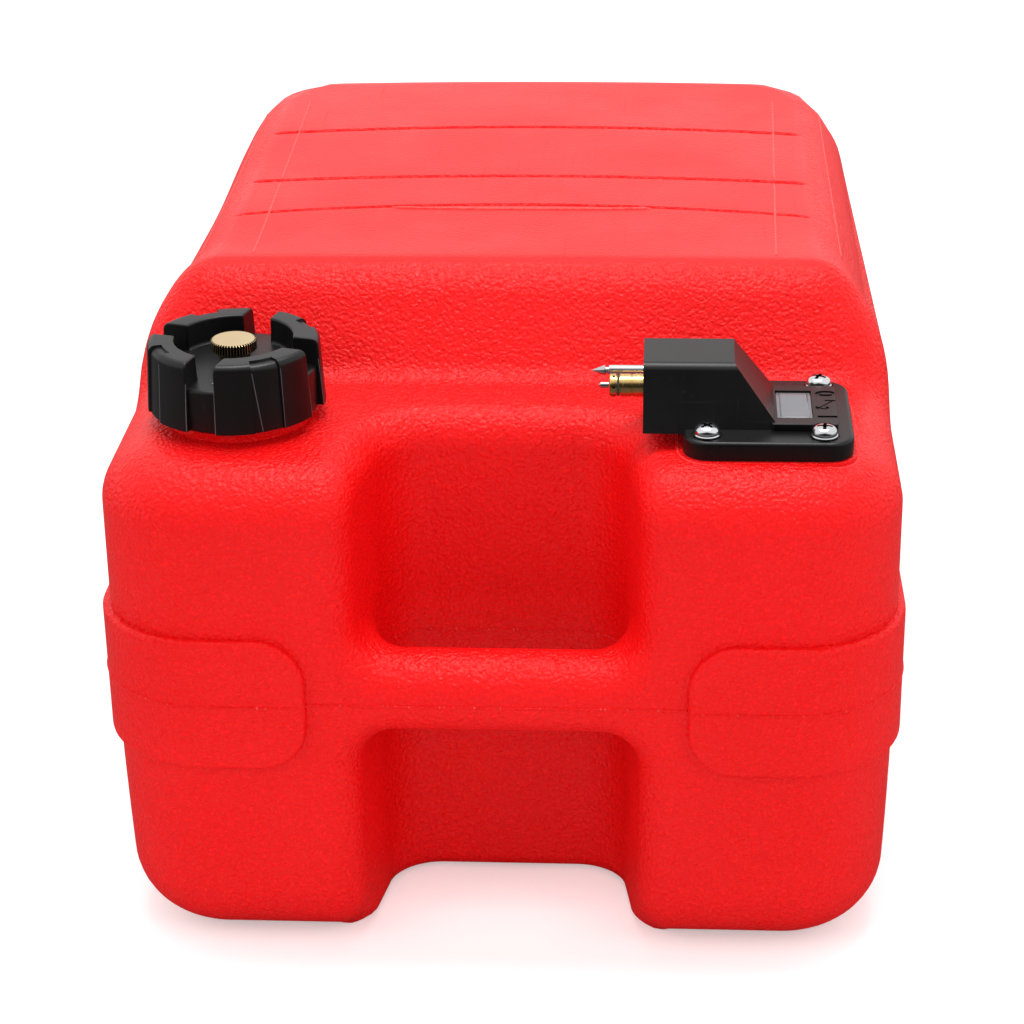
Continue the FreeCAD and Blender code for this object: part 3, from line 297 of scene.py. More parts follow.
# ---- Node helpers ----
class Graph:
    """A node tree with short ways to add and join nodes."""

    def __init__(self, tree):
        self.tree = tree
        self.nodes = tree.nodes
        self.links = tree.links

    def add(self, kind, inputs=None, **settings):
        node = self.nodes.new(kind)
        for name, value in settings.items():
            setattr(node, name, value)
        for name, value in (inputs or {}).items():
            self.put(node.inputs[name], value)
        return node

    def put(self, socket, value):
        if isinstance(value, bpy.types.NodeSocket):
            self.links.new(value, socket)
        else:
            socket.default_value = value

    def math(self, operation, *values):
        node = self.add("ShaderNodeMath", operation=operation)
        for socket, value in zip(node.inputs, values):
            self.put(socket, value)
        return node.outputs[0]

    def ramp(self, factor, stops, smooth=True):
        node = self.add("ShaderNodeValToRGB", {"Fac": factor})
        ramp = node.color_ramp
        ramp.interpolation = "EASE" if smooth else "LINEAR"
        while len(ramp.elements) < len(stops):
            ramp.elements.new(0.5)
        for element, (place, value) in zip(ramp.elements, stops):
            element.position = place
            element.color = (value, value, value, 1) if isinstance(value, (int, float)) else (*value, 1)
        return node.outputs["Color"]

    def spread(self, value, low, high, out_low=0.0, out_high=1.0):
        """A value mapped smoothly from one range to another."""
        node = self.add("ShaderNodeMapRange", interpolation_type="SMOOTHSTEP")
        for socket, number in zip(node.inputs, (value, low, high, out_low, out_high)):
            self.put(socket, number)
        return node.outputs[0]

    def blend(self, factor, a, b, way="MIX"):
        node = self.add("ShaderNodeMix", data_type="RGBA", blend_type=way)
        for index, value in ((0, factor), (6, a), (7, b)):
            self.put(node.inputs[index], value)
        return node.outputs[2]

    def place(self):
        return self.add("ShaderNodeTexCoord").outputs["Object"]

    def noise(self, place, scale, detail=2.0, roughness=0.5, distortion=0.0):
        inputs = {"Vector": place, "Scale": scale, "Detail": detail, "Roughness": roughness,
                  "Distortion": distortion}
        return self.add("ShaderNodeTexNoise", inputs).outputs["Fac"]

    def cells(self, place, scale, smoothness=0.4, feature="SMOOTH_F1"):
        inputs = {"Vector": place, "Scale": scale}
        node = self.add("ShaderNodeTexVoronoi", inputs, feature=feature)
        if feature == "SMOOTH_F1":
            node.inputs["Smoothness"].default_value = smoothness
        return node.outputs["Distance"]

    def stretched(self, place, scale, turn=(0, 0, 0)):
        inputs = {"Vector": place, "Scale": scale, "Rotation": turn}
        return self.add("ShaderNodeMapping", inputs).outputs[0]

    def group(self, tree, inputs):
        node = self.add("ShaderNodeGroup", node_tree=tree)
        for name, value in inputs.items():
            self.put(node.inputs[name], value)
        return node.outputs

    def bump(self, height, distance, strength=1.0, normal=None):
        inputs = {"Height": height, "Distance": distance, "Strength": strength}
        if normal:
            inputs["Normal"] = normal
        return self.add("ShaderNodeBump", inputs).outputs[0]


def new_material(name):
    material = bpy.data.materials.new(name)
    material.use_nodes = True
    material.node_tree.nodes.clear()
    graph = Graph(material.node_tree)
    shader = graph.add("ShaderNodeBsdfPrincipled")
    output = graph.add("ShaderNodeOutputMaterial", {"Surface": shader.outputs[0]})
    return material, graph, shader, output


def new_group(name, inputs, outputs):
    """Empty shader node group; returns its graph, its inputs and a way to set its outputs."""
    tree = bpy.data.node_groups.new(name, "ShaderNodeTree")
    for label, kind, value in inputs:
        socket = tree.interface.new_socket(label, in_out="INPUT", socket_type=kind)
        if value is not None:
            socket.default_value = value
    for label, kind in outputs:
        tree.interface.new_socket(label, in_out="OUTPUT", socket_type=kind)
    graph = Graph(tree)
    given = graph.add("NodeGroupInput").outputs
    wanted = graph.add("NodeGroupOutput").inputs
    return tree, graph, given, wanted


FLOAT = "NodeSocketFloat"
VECTOR = "NodeSocketVector"


def use_marks():
    """Light wear for any hard surface: fine scratches and a patchy sheen."""
    tree, graph, given, wanted = new_group(
        "use_marks",
        [("Place", VECTOR, None), ("Size", FLOAT, 1.0)],
        [("Scratches", FLOAT), ("Patches", FLOAT), ("Specks", FLOAT)],
    )
    place = given["Place"]
    lines = []
    for turn, length in (((0.3, 0.2, 0.5), (900, 18, 60)), ((0.8, 1.1, 2.1), (20, 1100, 80))):
        streak = graph.noise(graph.stretched(place, length, turn), graph.math("DIVIDE", 1.0, given["Size"]), 1.0)
        lines.append(graph.spread(streak, 0.68, 0.80))
    graph.put(wanted["Scratches"], graph.math("MAXIMUM", *lines))
    graph.put(wanted["Patches"], graph.spread(graph.noise(place, 14.0, 3.0, 0.6), 0.3, 0.7))
    specks = graph.spread(graph.cells(place, 260.0, feature="F1"), 0.10, 0.05)
    rare = graph.spread(graph.noise(place, 40.0, 1.0), 0.60, 0.70)
    graph.put(wanted["Specks"], graph.math("MULTIPLY", specks, rare))
    return tree


def leather_grain():
    """Moulded leather grain: rounded pebbles of uneven size with soft valleys."""
    tree, graph, given, wanted = new_group(
        "leather_grain", [("Place", VECTOR, None), ("Size", FLOAT, 1.0)], [("Height", FLOAT)]
    )
    shift = graph.add("ShaderNodeTexNoise", {"Vector": given["Place"], "Scale": 300.0, "Detail": 1.0})
    bent = graph.add("ShaderNodeVectorMath", operation="SCALE")
    graph.links.new(shift.outputs["Color"], bent.inputs[0])
    bent.inputs["Scale"].default_value = 0.0014
    place = graph.add("ShaderNodeVectorMath", operation="ADD")
    graph.links.new(given["Place"], place.inputs[0])
    graph.links.new(bent.outputs[0], place.inputs[1])
    scale = graph.math("DIVIDE", 640.0, given["Size"])
    pebbles = graph.cells(place.outputs[0], scale, 0.55)
    wrinkles = graph.noise(place.outputs[0], graph.math("DIVIDE", 760.0, given["Size"]), 2.0, 0.55, 0.3)
    height = graph.math("MULTIPLY_ADD", pebbles, -0.9, graph.math("MULTIPLY", wrinkles, 1.1))
    graph.put(wanted["Height"], height)
    return tree


USE_MARKS = use_marks()
LEATHER_GRAIN = leather_grain()


# ---- Materials ----
def red_plastic(name, smooth_decks, tint=(0.90, 0.0045, 0.0055)):
    """Blow-moulded polyethylene: leather grain, smooth on the decks where smooth_decks is set."""
    material, graph, shader, _ = new_material(name)
    place = graph.place()
    marks = graph.group(USE_MARKS, {"Place": place})
    grain = graph.group(LEATHER_GRAIN, {"Place": place, "Size": 1.0})["Height"]
    tone = graph.noise(place, 9.0, 3.0, 0.6)
    deeper = tuple(channel * 0.93 for channel in tint)
    colour = graph.blend(graph.spread(tone, 0.35, 0.7), (*tint, 1), (*deeper, 1))
    colour = graph.blend(graph.math("MULTIPLY", marks["Specks"], 0.35), colour, (0.42, 0.004, 0.006, 1))
    # valleys marks the grain's hollows, which are painted darker below: painted shade in the grain.
    strength, valleys = 1.0, graph.spread(grain, 0.45, 0.10, 0.0, 0.34)
    if smooth_decks:
        split = graph.add("ShaderNodeSeparateXYZ", {"Vector": graph.add("ShaderNodeNewGeometry").outputs["Normal"]})
        height = graph.add("ShaderNodeSeparateXYZ", {"Vector": place}).outputs["Z"]
        up = graph.spread(split.outputs["Z"], 0.90, 0.985)
        upper = graph.spread(height, 0.205, 0.222)
        strength = graph.math("SUBTRACT", 1.0, graph.math("MULTIPLY", graph.math("MULTIPLY", up, upper), 0.80))
        valleys = graph.math("MULTIPLY", valleys, strength)
    # Painted shade: the darker red that the grain's hollows take.
    shaded = tuple(channel * 0.62 for channel in tint)
    colour = graph.blend(valleys, colour, (*shaded, 1))
    fine = graph.noise(place, 2600.0, 2.0, 0.5)
    swell = graph.noise(place, 17.0, 2.0, 0.5)
    wavy = graph.bump(swell, 0.0016, 0.30)
    grained = graph.bump(grain, 0.00055, strength, wavy)
    normal = graph.bump(graph.math("MULTIPLY_ADD", marks["Scratches"], -0.6, fine), 0.00002, 0.5, grained)
    graph.put(shader.inputs["Base Color"], colour)
    shader.inputs["Specular IOR Level"].default_value = 0.20
    rough = graph.math("MULTIPLY_ADD", marks["Patches"], 0.08, 0.31)
    rough = graph.math("MULTIPLY_ADD", marks["Scratches"], 0.06, rough)
    graph.put(shader.inputs["Roughness"], rough)
    graph.put(shader.inputs["Normal"], normal)
    return material


def black_plastic(name, grain_size, grain_depth, roughness, tint=(0.0042, 0.0040, 0.0043)):
    material, graph, shader, _ = new_material(name)
    place = graph.place()
    marks = graph.group(USE_MARKS, {"Place": place})
    fine = graph.noise(place, 1.0 / grain_size, 3.0, 0.6)
    light = tuple(channel * 1.9 for channel in tint)
    colour = graph.blend(marks["Patches"], (*tint, 1), (*light, 1))
    colour = graph.blend(graph.math("MULTIPLY", marks["Scratches"], 0.10), colour, (0.03, 0.03, 0.031, 1))
    colour = graph.blend(graph.math("MULTIPLY", marks["Specks"], 0.3), colour, (0.05, 0.047, 0.043, 1))
    graph.put(shader.inputs["Base Color"], colour)
    shader.inputs["Specular IOR Level"].default_value = 0.34
    graph.put(shader.inputs["Roughness"], graph.math("MULTIPLY_ADD", marks["Patches"], 0.08, roughness))
    height = graph.math("MULTIPLY_ADD", marks["Scratches"], -0.4, fine)
    graph.put(shader.inputs["Normal"], graph.bump(height, grain_depth, 0.8))
    return material


def metal(name, tint, roughness, turned_axis=None, spacing=0.00035, marked=0.5):
    """Bare metal; turned_axis is the axis a lathe left its rings along."""
    material, graph, shader, _ = new_material(name)
    place = graph.place()
    marks = graph.group(USE_MARKS, {"Place": place})
    dark = tuple(channel * 0.72 for channel in tint)
    colour = graph.blend(marks["Patches"], (*tint, 1), (*dark, 1))
    colour = graph.blend(graph.math("MULTIPLY", marks["Specks"], marked), colour, (*(c * 0.35 for c in tint), 1))
    graph.put(shader.inputs["Base Color"], colour)
    shader.inputs["Metallic"].default_value = 1.0
    rough = graph.math("MULTIPLY_ADD", marks["Patches"], 0.10, roughness)
    graph.put(shader.inputs["Roughness"], graph.math("MULTIPLY_ADD", marks["Scratches"], 0.15, rough))
    height = graph.math("MULTIPLY", marks["Scratches"], -1.0)
    if turned_axis:
        along = graph.add("ShaderNodeSeparateXYZ", {"Vector": place}).outputs[turned_axis]
        rings = graph.math("SINE", graph.math("MULTIPLY", along, 2 * math.pi / spacing))
        height = graph.math("MULTIPLY_ADD", rings, 0.35, height)
    graph.put(shader.inputs["Normal"], graph.bump(height, 0.00001, 0.6))
    return material


def rubber(name, tint=(0.018, 0.018, 0.019)):
    material, graph, shader, _ = new_material(name)
    place = graph.place()
    marks = graph.group(USE_MARKS, {"Place": place})
    dusty = tuple(channel * 2.4 for channel in tint)
    dust = graph.math("MULTIPLY", marks["Patches"], 0.6)
    graph.put(shader.inputs["Base Color"], graph.blend(dust, (*tint, 1), (*dusty, 1)))
    graph.put(shader.inputs["Roughness"], graph.math("MULTIPLY_ADD", marks["Patches"], 0.15, 0.62))
    graph.put(shader.inputs["Normal"], graph.bump(graph.noise(place, 1800.0, 3.0, 0.6), 0.00003, 0.8))
    return material


def foam():
    """Closed-cell float foam with a fuel stain on its lower end."""
    material, graph, shader, _ = new_material("float_foam")
    place = graph.place()
    pores = graph.cells(place, 900.0, 0.2)
    height = graph.add("ShaderNodeSeparateXYZ", {"Vector": place}).outputs["Z"]
    wet = graph.spread(graph.math("MULTIPLY_ADD", graph.noise(place, 60.0, 3.0), 0.02, height), 0.04, 0.015)
    colour = graph.blend(graph.spread(pores, 0.15, 0.6), (0.020, 0.019, 0.018, 1), (0.055, 0.052, 0.048, 1))
    colour = graph.blend(graph.math("MULTIPLY", wet, 0.5), colour, (0.030, 0.020, 0.010, 1))
    graph.put(shader.inputs["Base Color"], colour)
    graph.put(shader.inputs["Roughness"], graph.math("MULTIPLY_ADD", wet, -0.25, 0.85))
    graph.put(shader.inputs["Normal"], graph.bump(pores, 0.0004, 0.9))
    return material


def pale_plastic(name, tint, roughness, banded=False):
    """White or grey plastic; banded adds the gauge's graduation lines."""
    material, graph, shader, _ = new_material(name)
    place = graph.place()
    marks = graph.group(USE_MARKS, {"Place": place})
    worn = tuple(channel * 0.82 for channel in tint)
    colour = graph.blend(marks["Patches"], (*tint, 1), (*worn, 1))
    if banded:
        fine = graph.noise(place, 700.0, 2.0)
        colour = graph.blend(graph.math("MULTIPLY", fine, 0.10), colour, (0.05, 0.05, 0.05, 1))
    graph.put(shader.inputs["Base Color"], colour)
    graph.put(shader.inputs["Roughness"], graph.math("MULTIPLY_ADD", marks["Patches"], 0.12, roughness))
    graph.put(shader.inputs["Normal"], graph.bump(graph.noise(place, 1500.0, 2.0), 0.00002, 0.7))
    return material


def clear_plastic():
    """Gauge window: clear, very slightly smoked, with fine scratches."""
    material, graph, shader, _ = new_material("clear_window")
    place = graph.place()
    marks = graph.group(USE_MARKS, {"Place": place})
    shader.inputs["Base Color"].default_value = (0.34, 0.34, 0.37, 1)
    shader.inputs["Metallic"].default_value = 0.0
    shader.inputs["Transmission Weight"].default_value = 0.62
    shader.inputs["IOR"].default_value = 1.49
    graph.put(shader.inputs["Roughness"], graph.math("MULTIPLY_ADD", marks["Scratches"], 0.2, 0.05))
    height = graph.math("ADD", graph.noise(place, 120.0, 1.0), marks["Scratches"])
    graph.put(shader.inputs["Normal"], graph.bump(height, 0.00002, 0.5))
    return material


RED = red_plastic("red_polyethylene", True)
# A paler red for the flash crumbs and the pale moulded lines: painted highlight, as if these thin lines catch the
# light.
RED_FLASH_HIGHLIGHT = red_plastic("red_polyethylene_flash_highlight", False, (0.95, 0.075, 0.070))
BLACK_CAP = black_plastic("black_plastic_cap", 0.0009, 0.00004, 0.31, (0.0026, 0.0024, 0.0026))
BLACK_HOUSING = black_plastic("black_plastic_housing", 0.00045, 0.00003, 0.33, (0.0022, 0.0020, 0.0021))
# A lighter black for the raised lines on the cap, the parting seam lines among them: painted edge highlight.
BLACK_EDGE_HIGHLIGHT = black_plastic("black_plastic_edge_highlight", 0.0009, 0.00003, 0.30, (0.050, 0.050, 0.054))
BRASS_KNOB = metal("brass_faced", (0.90, 0.70, 0.40), 0.26, None)
BRASS_TURNED = metal("brass_turned", (0.80, 0.56, 0.22), 0.20, "X", 0.0007)
STEEL_TURNED = metal("steel_turned", (0.62, 0.62, 0.63), 0.16, "X", 0.0008)
CHROME = metal("bright_plating", (0.80, 0.81, 0.83), 0.07, None, marked=0.3)
# Darkened brass for the vent bush under the knob: painted shade under the knob.
BRASS_UNDER_KNOB_SHADE = metal("brass_painted_shade_under_knob", (0.22, 0.15, 0.07), 0.40, None)
# Dark brass for the knob's knurl grooves: painted shade in the grooves.
BRASS_GROOVE_SHADE = metal("brass_painted_groove_shade", (0.045, 0.032, 0.016), 0.50, None)
# Dark, dull plating for the screws' cross recesses: painted shade in the recesses.
RECESS_SHADE_STEEL = metal("plating_painted_recess_shade", (0.035, 0.035, 0.038), 0.45, None)
STEEL = metal("plain_steel", (0.46, 0.46, 0.47), 0.32, None)
RUBBER = rubber("black_rubber")
FOAM = foam()
GREY = pale_plastic("grey_plastic", (0.30, 0.31, 0.32), 0.45)
WHITE = pale_plastic("gauge_white", (0.62, 0.62, 0.65), 0.40, True)
HOSE = pale_plastic("milky_plastic", (0.55, 0.54, 0.48), 0.35)
WINDOW = clear_plastic()


# ---- Tank ----
def smooth_step(low, high, value):
    t = min(max((value - low) / (high - low), 0.0), 1.0)
    return t * t * (3 - 2 * t)


def deck_drop(x):
    """How far the upper deck's side rounding has fallen at this distance from the middle."""
    past = min(max(abs(x) - DECK_FLAT_HALF, 0.0), DECK_ROUNDING)
    return DECK_ROUNDING - math.sqrt(DECK_ROUNDING ** 2 - past ** 2)


def crease_shape(offset, half_width=2.2 * MM):
    t = abs(offset) / half_width
    return (1 - t * t) ** 2 if t < 1 else 0.0


def deck_change(x, y, z):
    """Move of a point of the upper deck: a slight crown, sharper creases with longer ends, bowed in plan."""
    level = smooth_step(TANK_TOP - 30 * MM, TANK_TOP - 8 * MM, z)
    if not level:
        return Vector()
    crown = -0.7 * MM - 1.3 * MM * (x / (120 * MM)) ** 2
    crown *= smooth_step(FRONT_Y + 105 * MM, FRONT_Y + 175 * MM, y)
    ends = 0.0
    fade = 1 - smooth_step(117 * MM, 123 * MM, abs(x))
    for line in CREASE_LINES:
        ends -= min(deck_drop(x), 1.0 * MM) * crease_shape(y - line) * fade
        ends -= 1.7 * MM * crease_shape(y - line, 1.5 * MM) * fade
    bow = (x / (115 * MM)) ** 2
    places = [FRONT_Y + 175 * MM, *CREASE_LINES, TANK_HIGH.y - 12 * MM]
    forward = np.interp(y, places, [0.0, (3.5 + 10.0 * bow) * MM, (8.5 + 4.5 * bow) * MM, (2.0 + 6.0 * bow) * MM, 0.0])
    return Vector((0, -forward * level, level * (crown + ends)))


def narrower_shoulder(x, y, z):
    """Move inward of the upper body's sides behind the step."""
    share = smooth_step(92 * MM, 138 * MM, abs(x)) * smooth_step(105 * MM, 195 * MM, z)
    share *= smooth_step(FRONT_Y + 112 * MM, FRONT_Y + 165 * MM, y)
    reach = 6.0 - 1.6 * smooth_step(FRONT_Y + 250 * MM, FRONT_Y + 350 * MM, y) if x < 0 else 4.4
    return Vector((-math.copysign(reach * MM * share, x), 0, 0))


def tighter_arch(vert):
    """Move of a vertex that gives the hand channel's lower edges a smaller rounding."""
    n = vert.normal
    flat = math.hypot(n.x, n.y)
    if flat < 0.05 or n.z > -0.02 or vert.co.z > 20 * MM or vert.co.z < -1 * MM:
        return Vector()
    away = max(abs(vert.co.x) - 62 * MM, 0.0)
    inside = 1 - smooth_step(0, 6 * MM, away)
    inside *= smooth_step(FRONT_Y + 14 * MM, FRONT_Y + 30 * MM, vert.co.y)
    inside *= 1 - smooth_step(CHANNEL_BACK_Y + 15 * MM, CHANNEL_BACK_Y + 20 * MM, vert.co.y)
    wall = Vector((n.x / flat, n.y / flat, 0))
    return inside * 9 * MM * (wall + Vector((0, 0, -1)) - n)


def grid_cuts(form, normal, places, keep):
    """Cut faces that keep() accepts with planes across one axis."""
    axis = Vector(normal)
    for place in places:
        faces = [f for f in form.faces if keep(f)]
        geometry = {g for f in faces for g in (f, *f.edges, *f.verts)}
        bmesh.ops.bisect_plane(form, geom=list(geometry), dist=1e-7, plane_co=axis * place, plane_no=axis)


FLASH_ROOM = 0.9 * MM                    # what the raised lines take of the tank's outermost size


def tank_skin():
    mesh = merged_copy("tank_shell")
    form = bmesh.new()
    form.from_mesh(mesh)

    def is_deck(face):
        return face.calc_center_median().z > TANK_TOP - 32 * MM and face.normal.z > 0.15

    steps = [i * 8 * MM for i in range(-17, 18)]
    grid_cuts(form, (1, 0, 0), steps, is_deck)
    lines = []
    for line in CREASE_LINES:
        lines += [line + offset * MM for offset in (-3.0, -2.2, -1.5, -0.8, 0.0, 0.8, 1.5, 2.2, 3.0)]
    lines += [FRONT_Y + i * 9 * MM for i in range(13, 45)]
    grid_cuts(form, (0, 1, 0), sorted(lines), is_deck)

    def is_arch(face):
        centre = face.calc_center_median()
        return centre.z < 18 * MM and abs(centre.x) < 70 * MM and centre.y < CHANNEL_BACK_Y + 22 * MM

    grid_cuts(form, (0, 0, 1), [i * MM for i in (1, 2, 4, 6, 8, 10, 12, 14)], is_arch)
    form.normal_update()
    moves = [(vert, tighter_arch(vert)) for vert in form.verts]
    for vert, move in moves:
        vert.co += move + deck_change(*vert.co)
        vert.co += narrower_shoulder(*vert.co)
        vert.co.x *= 1 - FLASH_ROOM / TANK_HIGH.x
        vert.co.y *= 1 - FLASH_ROOM / TANK_HIGH.y
    form.to_mesh(mesh)
    form.free()
    shade(mesh, 38)
    skin = finish_piece("tank_skin", mesh, RED, "tank", ("tank_shell",))
    return even_normals(skin)


def surface_of(mesh):
    form = bmesh.new()
    form.from_mesh(mesh)
    tree = BVHTree.FromBMesh(form)
    form.free()
    return tree


def bead_tree():
    """Geometry nodes: a round bead along the edges it is given, with flash crumbs."""
    tree = bpy.data.node_groups.new("bead", "GeometryNodeTree")
    face = tree.interface
    face.new_socket("Geometry", in_out="INPUT", socket_type="NodeSocketGeometry")
    for label, value in (("Radius", 0.0004), ("Spacing", 0.002), ("Crumb Size", 0.0006), ("Crumb Share", 0.2)):
        face.new_socket(label, in_out="INPUT", socket_type=FLOAT).default_value = value
    face.new_socket("Seed", in_out="INPUT", socket_type="NodeSocketInt").default_value = 7
    face.new_socket("Finish", in_out="INPUT", socket_type="NodeSocketMaterial")
    face.new_socket("Geometry", in_out="OUTPUT", socket_type="NodeSocketGeometry")
    graph = Graph(tree)
    given = graph.add("NodeGroupInput").outputs
    curve = graph.add("GeometryNodeMeshToCurve", {"Mesh": given["Geometry"]}).outputs[0]
    even = graph.add("GeometryNodeResampleCurve", {"Curve": curve, "Length": given["Spacing"]}, mode="LENGTH")
    ring = graph.add("GeometryNodeCurvePrimitiveCircle", {"Resolution": 6, "Radius": given["Radius"]}, mode="RADIUS")
    sweep = {"Curve": even.outputs[0], "Profile Curve": ring.outputs[0], "Fill Caps": True}
    bead = graph.add("GeometryNodeCurveToMesh", sweep).outputs[0]
    along = {"Curve": even.outputs[0], "Length": given["Spacing"]}
    points = graph.add("GeometryNodeCurveToPoints", along, mode="LENGTH")
    pick = graph.add("FunctionNodeRandomValue", {"Seed": given["Seed"]}, data_type="BOOLEAN")
    graph.put([s for s in pick.inputs if s.name == "Probability" and s.enabled][0], given["Crumb Share"])
    crumb = graph.add("GeometryNodeMeshIcoSphere", {"Radius": given["Crumb Size"], "Subdivisions": 1})
    size = graph.add("FunctionNodeRandomValue", {"Seed": given["Seed"]}, data_type="FLOAT_VECTOR")
    size.inputs[0].default_value = (0.4, 0.4, 0.5)
    size.inputs[1].default_value = (1.6, 1.0, 1.1)
    turn = graph.add("FunctionNodeRandomValue", {"Seed": given["Seed"]}, data_type="FLOAT_VECTOR")
    turn.inputs[1].default_value = (6.28, 6.28, 6.28)
    placed = graph.add("GeometryNodeInstanceOnPoints", {
        "Points": points.outputs[0], "Instance": crumb.outputs[0], "Rotation": turn.outputs[0],
        "Scale": size.outputs[0],
        "Selection": [s for s in pick.outputs if s.enabled][0],
    })
    join = graph.add("GeometryNodeJoinGeometry")
    graph.links.new(bead, join.inputs[0])
    graph.links.new(placed.outputs[0], join.inputs[0])
    real = graph.add("GeometryNodeRealizeInstances", {"Geometry": join.outputs[0]}).outputs[0]
    smooth = graph.add("GeometryNodeSetShadeSmooth", {"Geometry": real}).outputs[0]
    done = graph.add("GeometryNodeSetMaterial", {"Geometry": smooth, "Material": given["Finish"]}).outputs[0]
    graph.add("NodeGroupOutput", {"Geometry": done})
    return tree


def run_tree(tree, source, inputs):
    """The plain mesh a geometry node tree makes of a source mesh."""
    thing = add_object("tree_source", source)
    modifier = thing.modifiers.new("tree", "NODES")
    modifier.node_group = tree
    for item in tree.interface.items_tree:
        if item.item_type == "SOCKET" and item.in_out == "INPUT" and item.name in inputs:
            modifier[item.identifier] = inputs[item.name]
    return evaluated(thing)


def path_mesh(points, closed=False):
    mesh = bpy.data.meshes.new("path")
    count = len(points)
    edges = [(i, i + 1) for i in range(count - 1)]
    if closed:
        edges.append((count - 1, 0))
    mesh.from_pydata([tuple(p) for p in points], edges, [])
    return mesh


def section_loops(mesh, z):
    """Closed outlines where a mesh meets a level plane, as lists of points."""
    form = bmesh.new()
    form.from_mesh(mesh)
    geometry = list(form.verts) + list(form.edges) + list(form.faces)
    cut = bmesh.ops.bisect_plane(form, geom=geometry, dist=1e-7, plane_co=(0, 0, z), plane_no=(0, 0, 1))
    edges = {g for g in cut["geom_cut"] if isinstance(g, bmesh.types.BMEdge)}
    loops = []
    while edges:
        edge = edges.pop()
        start, end = edge.verts
        chain = [start, end]
        while chain[-1] is not start:
            onward = [e for e in chain[-1].link_edges if e in edges]
            if not onward:
                break
            edges.discard(onward[0])
            chain.append(onward[0].other_vert(chain[-1]))
        loops.append([vert.co.copy() for vert in chain])
    form.free()
    return loops


def on_deck(tree, points, sink=0.0):
    """Points dropped on the surface below them."""
    placed = []
    for x, y in points:
        hit, normal, _, _ = tree.ray_cast(Vector((x, y, 0.5)), Vector((0, 0, -1)))
        if hit is not None:
            placed.append(hit - normal * sink)
    return placed


BEAD = bead_tree()


def beads(skin):
    """Raised lines on the tank: the parting bead and the outline of the upper deck's field; the pale ones carry a
    painted highlight.
    """
    tree = surface_of(skin.data)
    outer = []
    for loop in section_loops(skin.data, PARTING_Z + 0.03 * MM):
        xs = [p.x for p in loop]
        ys = [p.y for p in loop]
        spans = max(xs) - min(xs), max(ys) - min(ys)
        outside = spans[0] > 300 * MM
        finger_hole = max(ys) < CHANNEL_BACK_Y + 1.0 * MM and spans[1] > 20 * MM
        if outside or finger_hole:
            outer.append(loop)
    plain, pale = [], []
    for loop in outer:
        share = {"Radius": 0.40 * MM, "Spacing": 1.6 * MM, "Crumb Share": 0.0, "Seed": 11, "Finish": RED}
        plain.append(run_tree(BEAD, path_mesh(loop[:-1], True), share))
        # The thin line and crumbs along the parting bead are real moulding flash; their paler red is a painted
        # highlight.
        share.update({"Radius": 0.06 * MM, "Crumb Size": 0.55 * MM, "Crumb Share": 0.30, "Finish": RED_FLASH_HIGHLIGHT})
        pale.append(run_tree(BEAD, path_mesh(loop[:-1], True), share))

    def thin_line(points, radius, finish, closed=False):
        inputs = {"Radius": radius * MM, "Spacing": 2 * MM, "Crumb Share": 0.0, "Seed": 1, "Finish": finish}
        return run_tree(BEAD, path_mesh(points, closed), inputs)

    # Frame lines along the deck's sides and rim, raised and drawn in the paler red: painted highlight.
    for side in (-1, 1):
        edge = [(side * (103 + 5 * t / 59) * MM, FRONT_Y + (140 + 218 * t / 59) * MM) for t in range(60)]
        pale.append(thin_line(on_deck(tree, edge, 0.10 * MM), 0.46, RED_FLASH_HIGHLIGHT))
        rim = []
        for step in range(40):
            y = FRONT_Y + (165 + 200 * step / 39) * MM
            start = Vector((side * 0.25, y, TANK_TOP + 0.11))
            hit, normal, _, _ = tree.ray_cast(start, Vector((-side, 0, -1)).normalized())
            if hit is not None:
                rim.append(hit - normal * 0.10 * MM)
        pale.append(thin_line(rim, 0.42, RED_FLASH_HIGHLIGHT))
    # A pale crescent in front of the first crease, a thin raised line whose paler red is a painted highlight.
    crescent = []
    for step in range(49):
        t = step / 24 - 1
        crescent.append((t * 56 * MM, CREASE_LINES[0] - (5.9 + 3.4 * (1 - t * t) ** 0.5) * MM))
    pale.append(thin_line(on_deck(tree, crescent, 0.10 * MM), 0.70, RED_FLASH_HIGHLIGHT))
    # A pale outline round the meter's seat, also a painted highlight.
    middle_of_seat = (PLATE_LOW + PLATE_HIGH) / 2
    reach = 2 * 1.9 * MM
    outline = rounded_rectangle(PLATE_HIGH.x - PLATE_LOW.x + reach, PLATE_HIGH.y - PLATE_LOW.y + reach, 11.4 * MM)
    seat = on_deck(tree, [(middle_of_seat.x + x, middle_of_seat.y + y) for x, y in outline], 0.10 * MM)
    pale.append(thin_line(seat, 0.22, RED_FLASH_HIGHLIGHT, True))
    finish_piece("moulded_lines", joined(plain), RED, "tank", ())
    finish_piece("pale_flash", joined(pale), RED_FLASH_HIGHLIGHT, "tank", ())


SKIN = tank_skin()
beads(SKIN)


# ---- Filler cap ----
CAP_BOTTOM_RADIUS = 33.3 * MM
CAP_TOP_RADIUS = 32.0 * MM
CAP_SKIRT_RADIUS = 31.0 * MM
CAP_WELL_RADIUS = 22.0 * MM
CAP_HALF_GAP = 5.5 * MM
CAP_GAP_TURN = -15.0
CAP_GRIPS = 4
CAP_HALF_PANEL = 10.0                    # degrees
CAP_INSIDE_RADIUS = 25.35 * MM
CAP_FLOOR = CAP_HIGH - 10.0 * MM
CAP_ROOF_UNDER = CAP_HIGH - 13.5 * MM
BUSH_RADIUS = 5.0 * MM
BOSS_RADIUS = 7.5 * MM


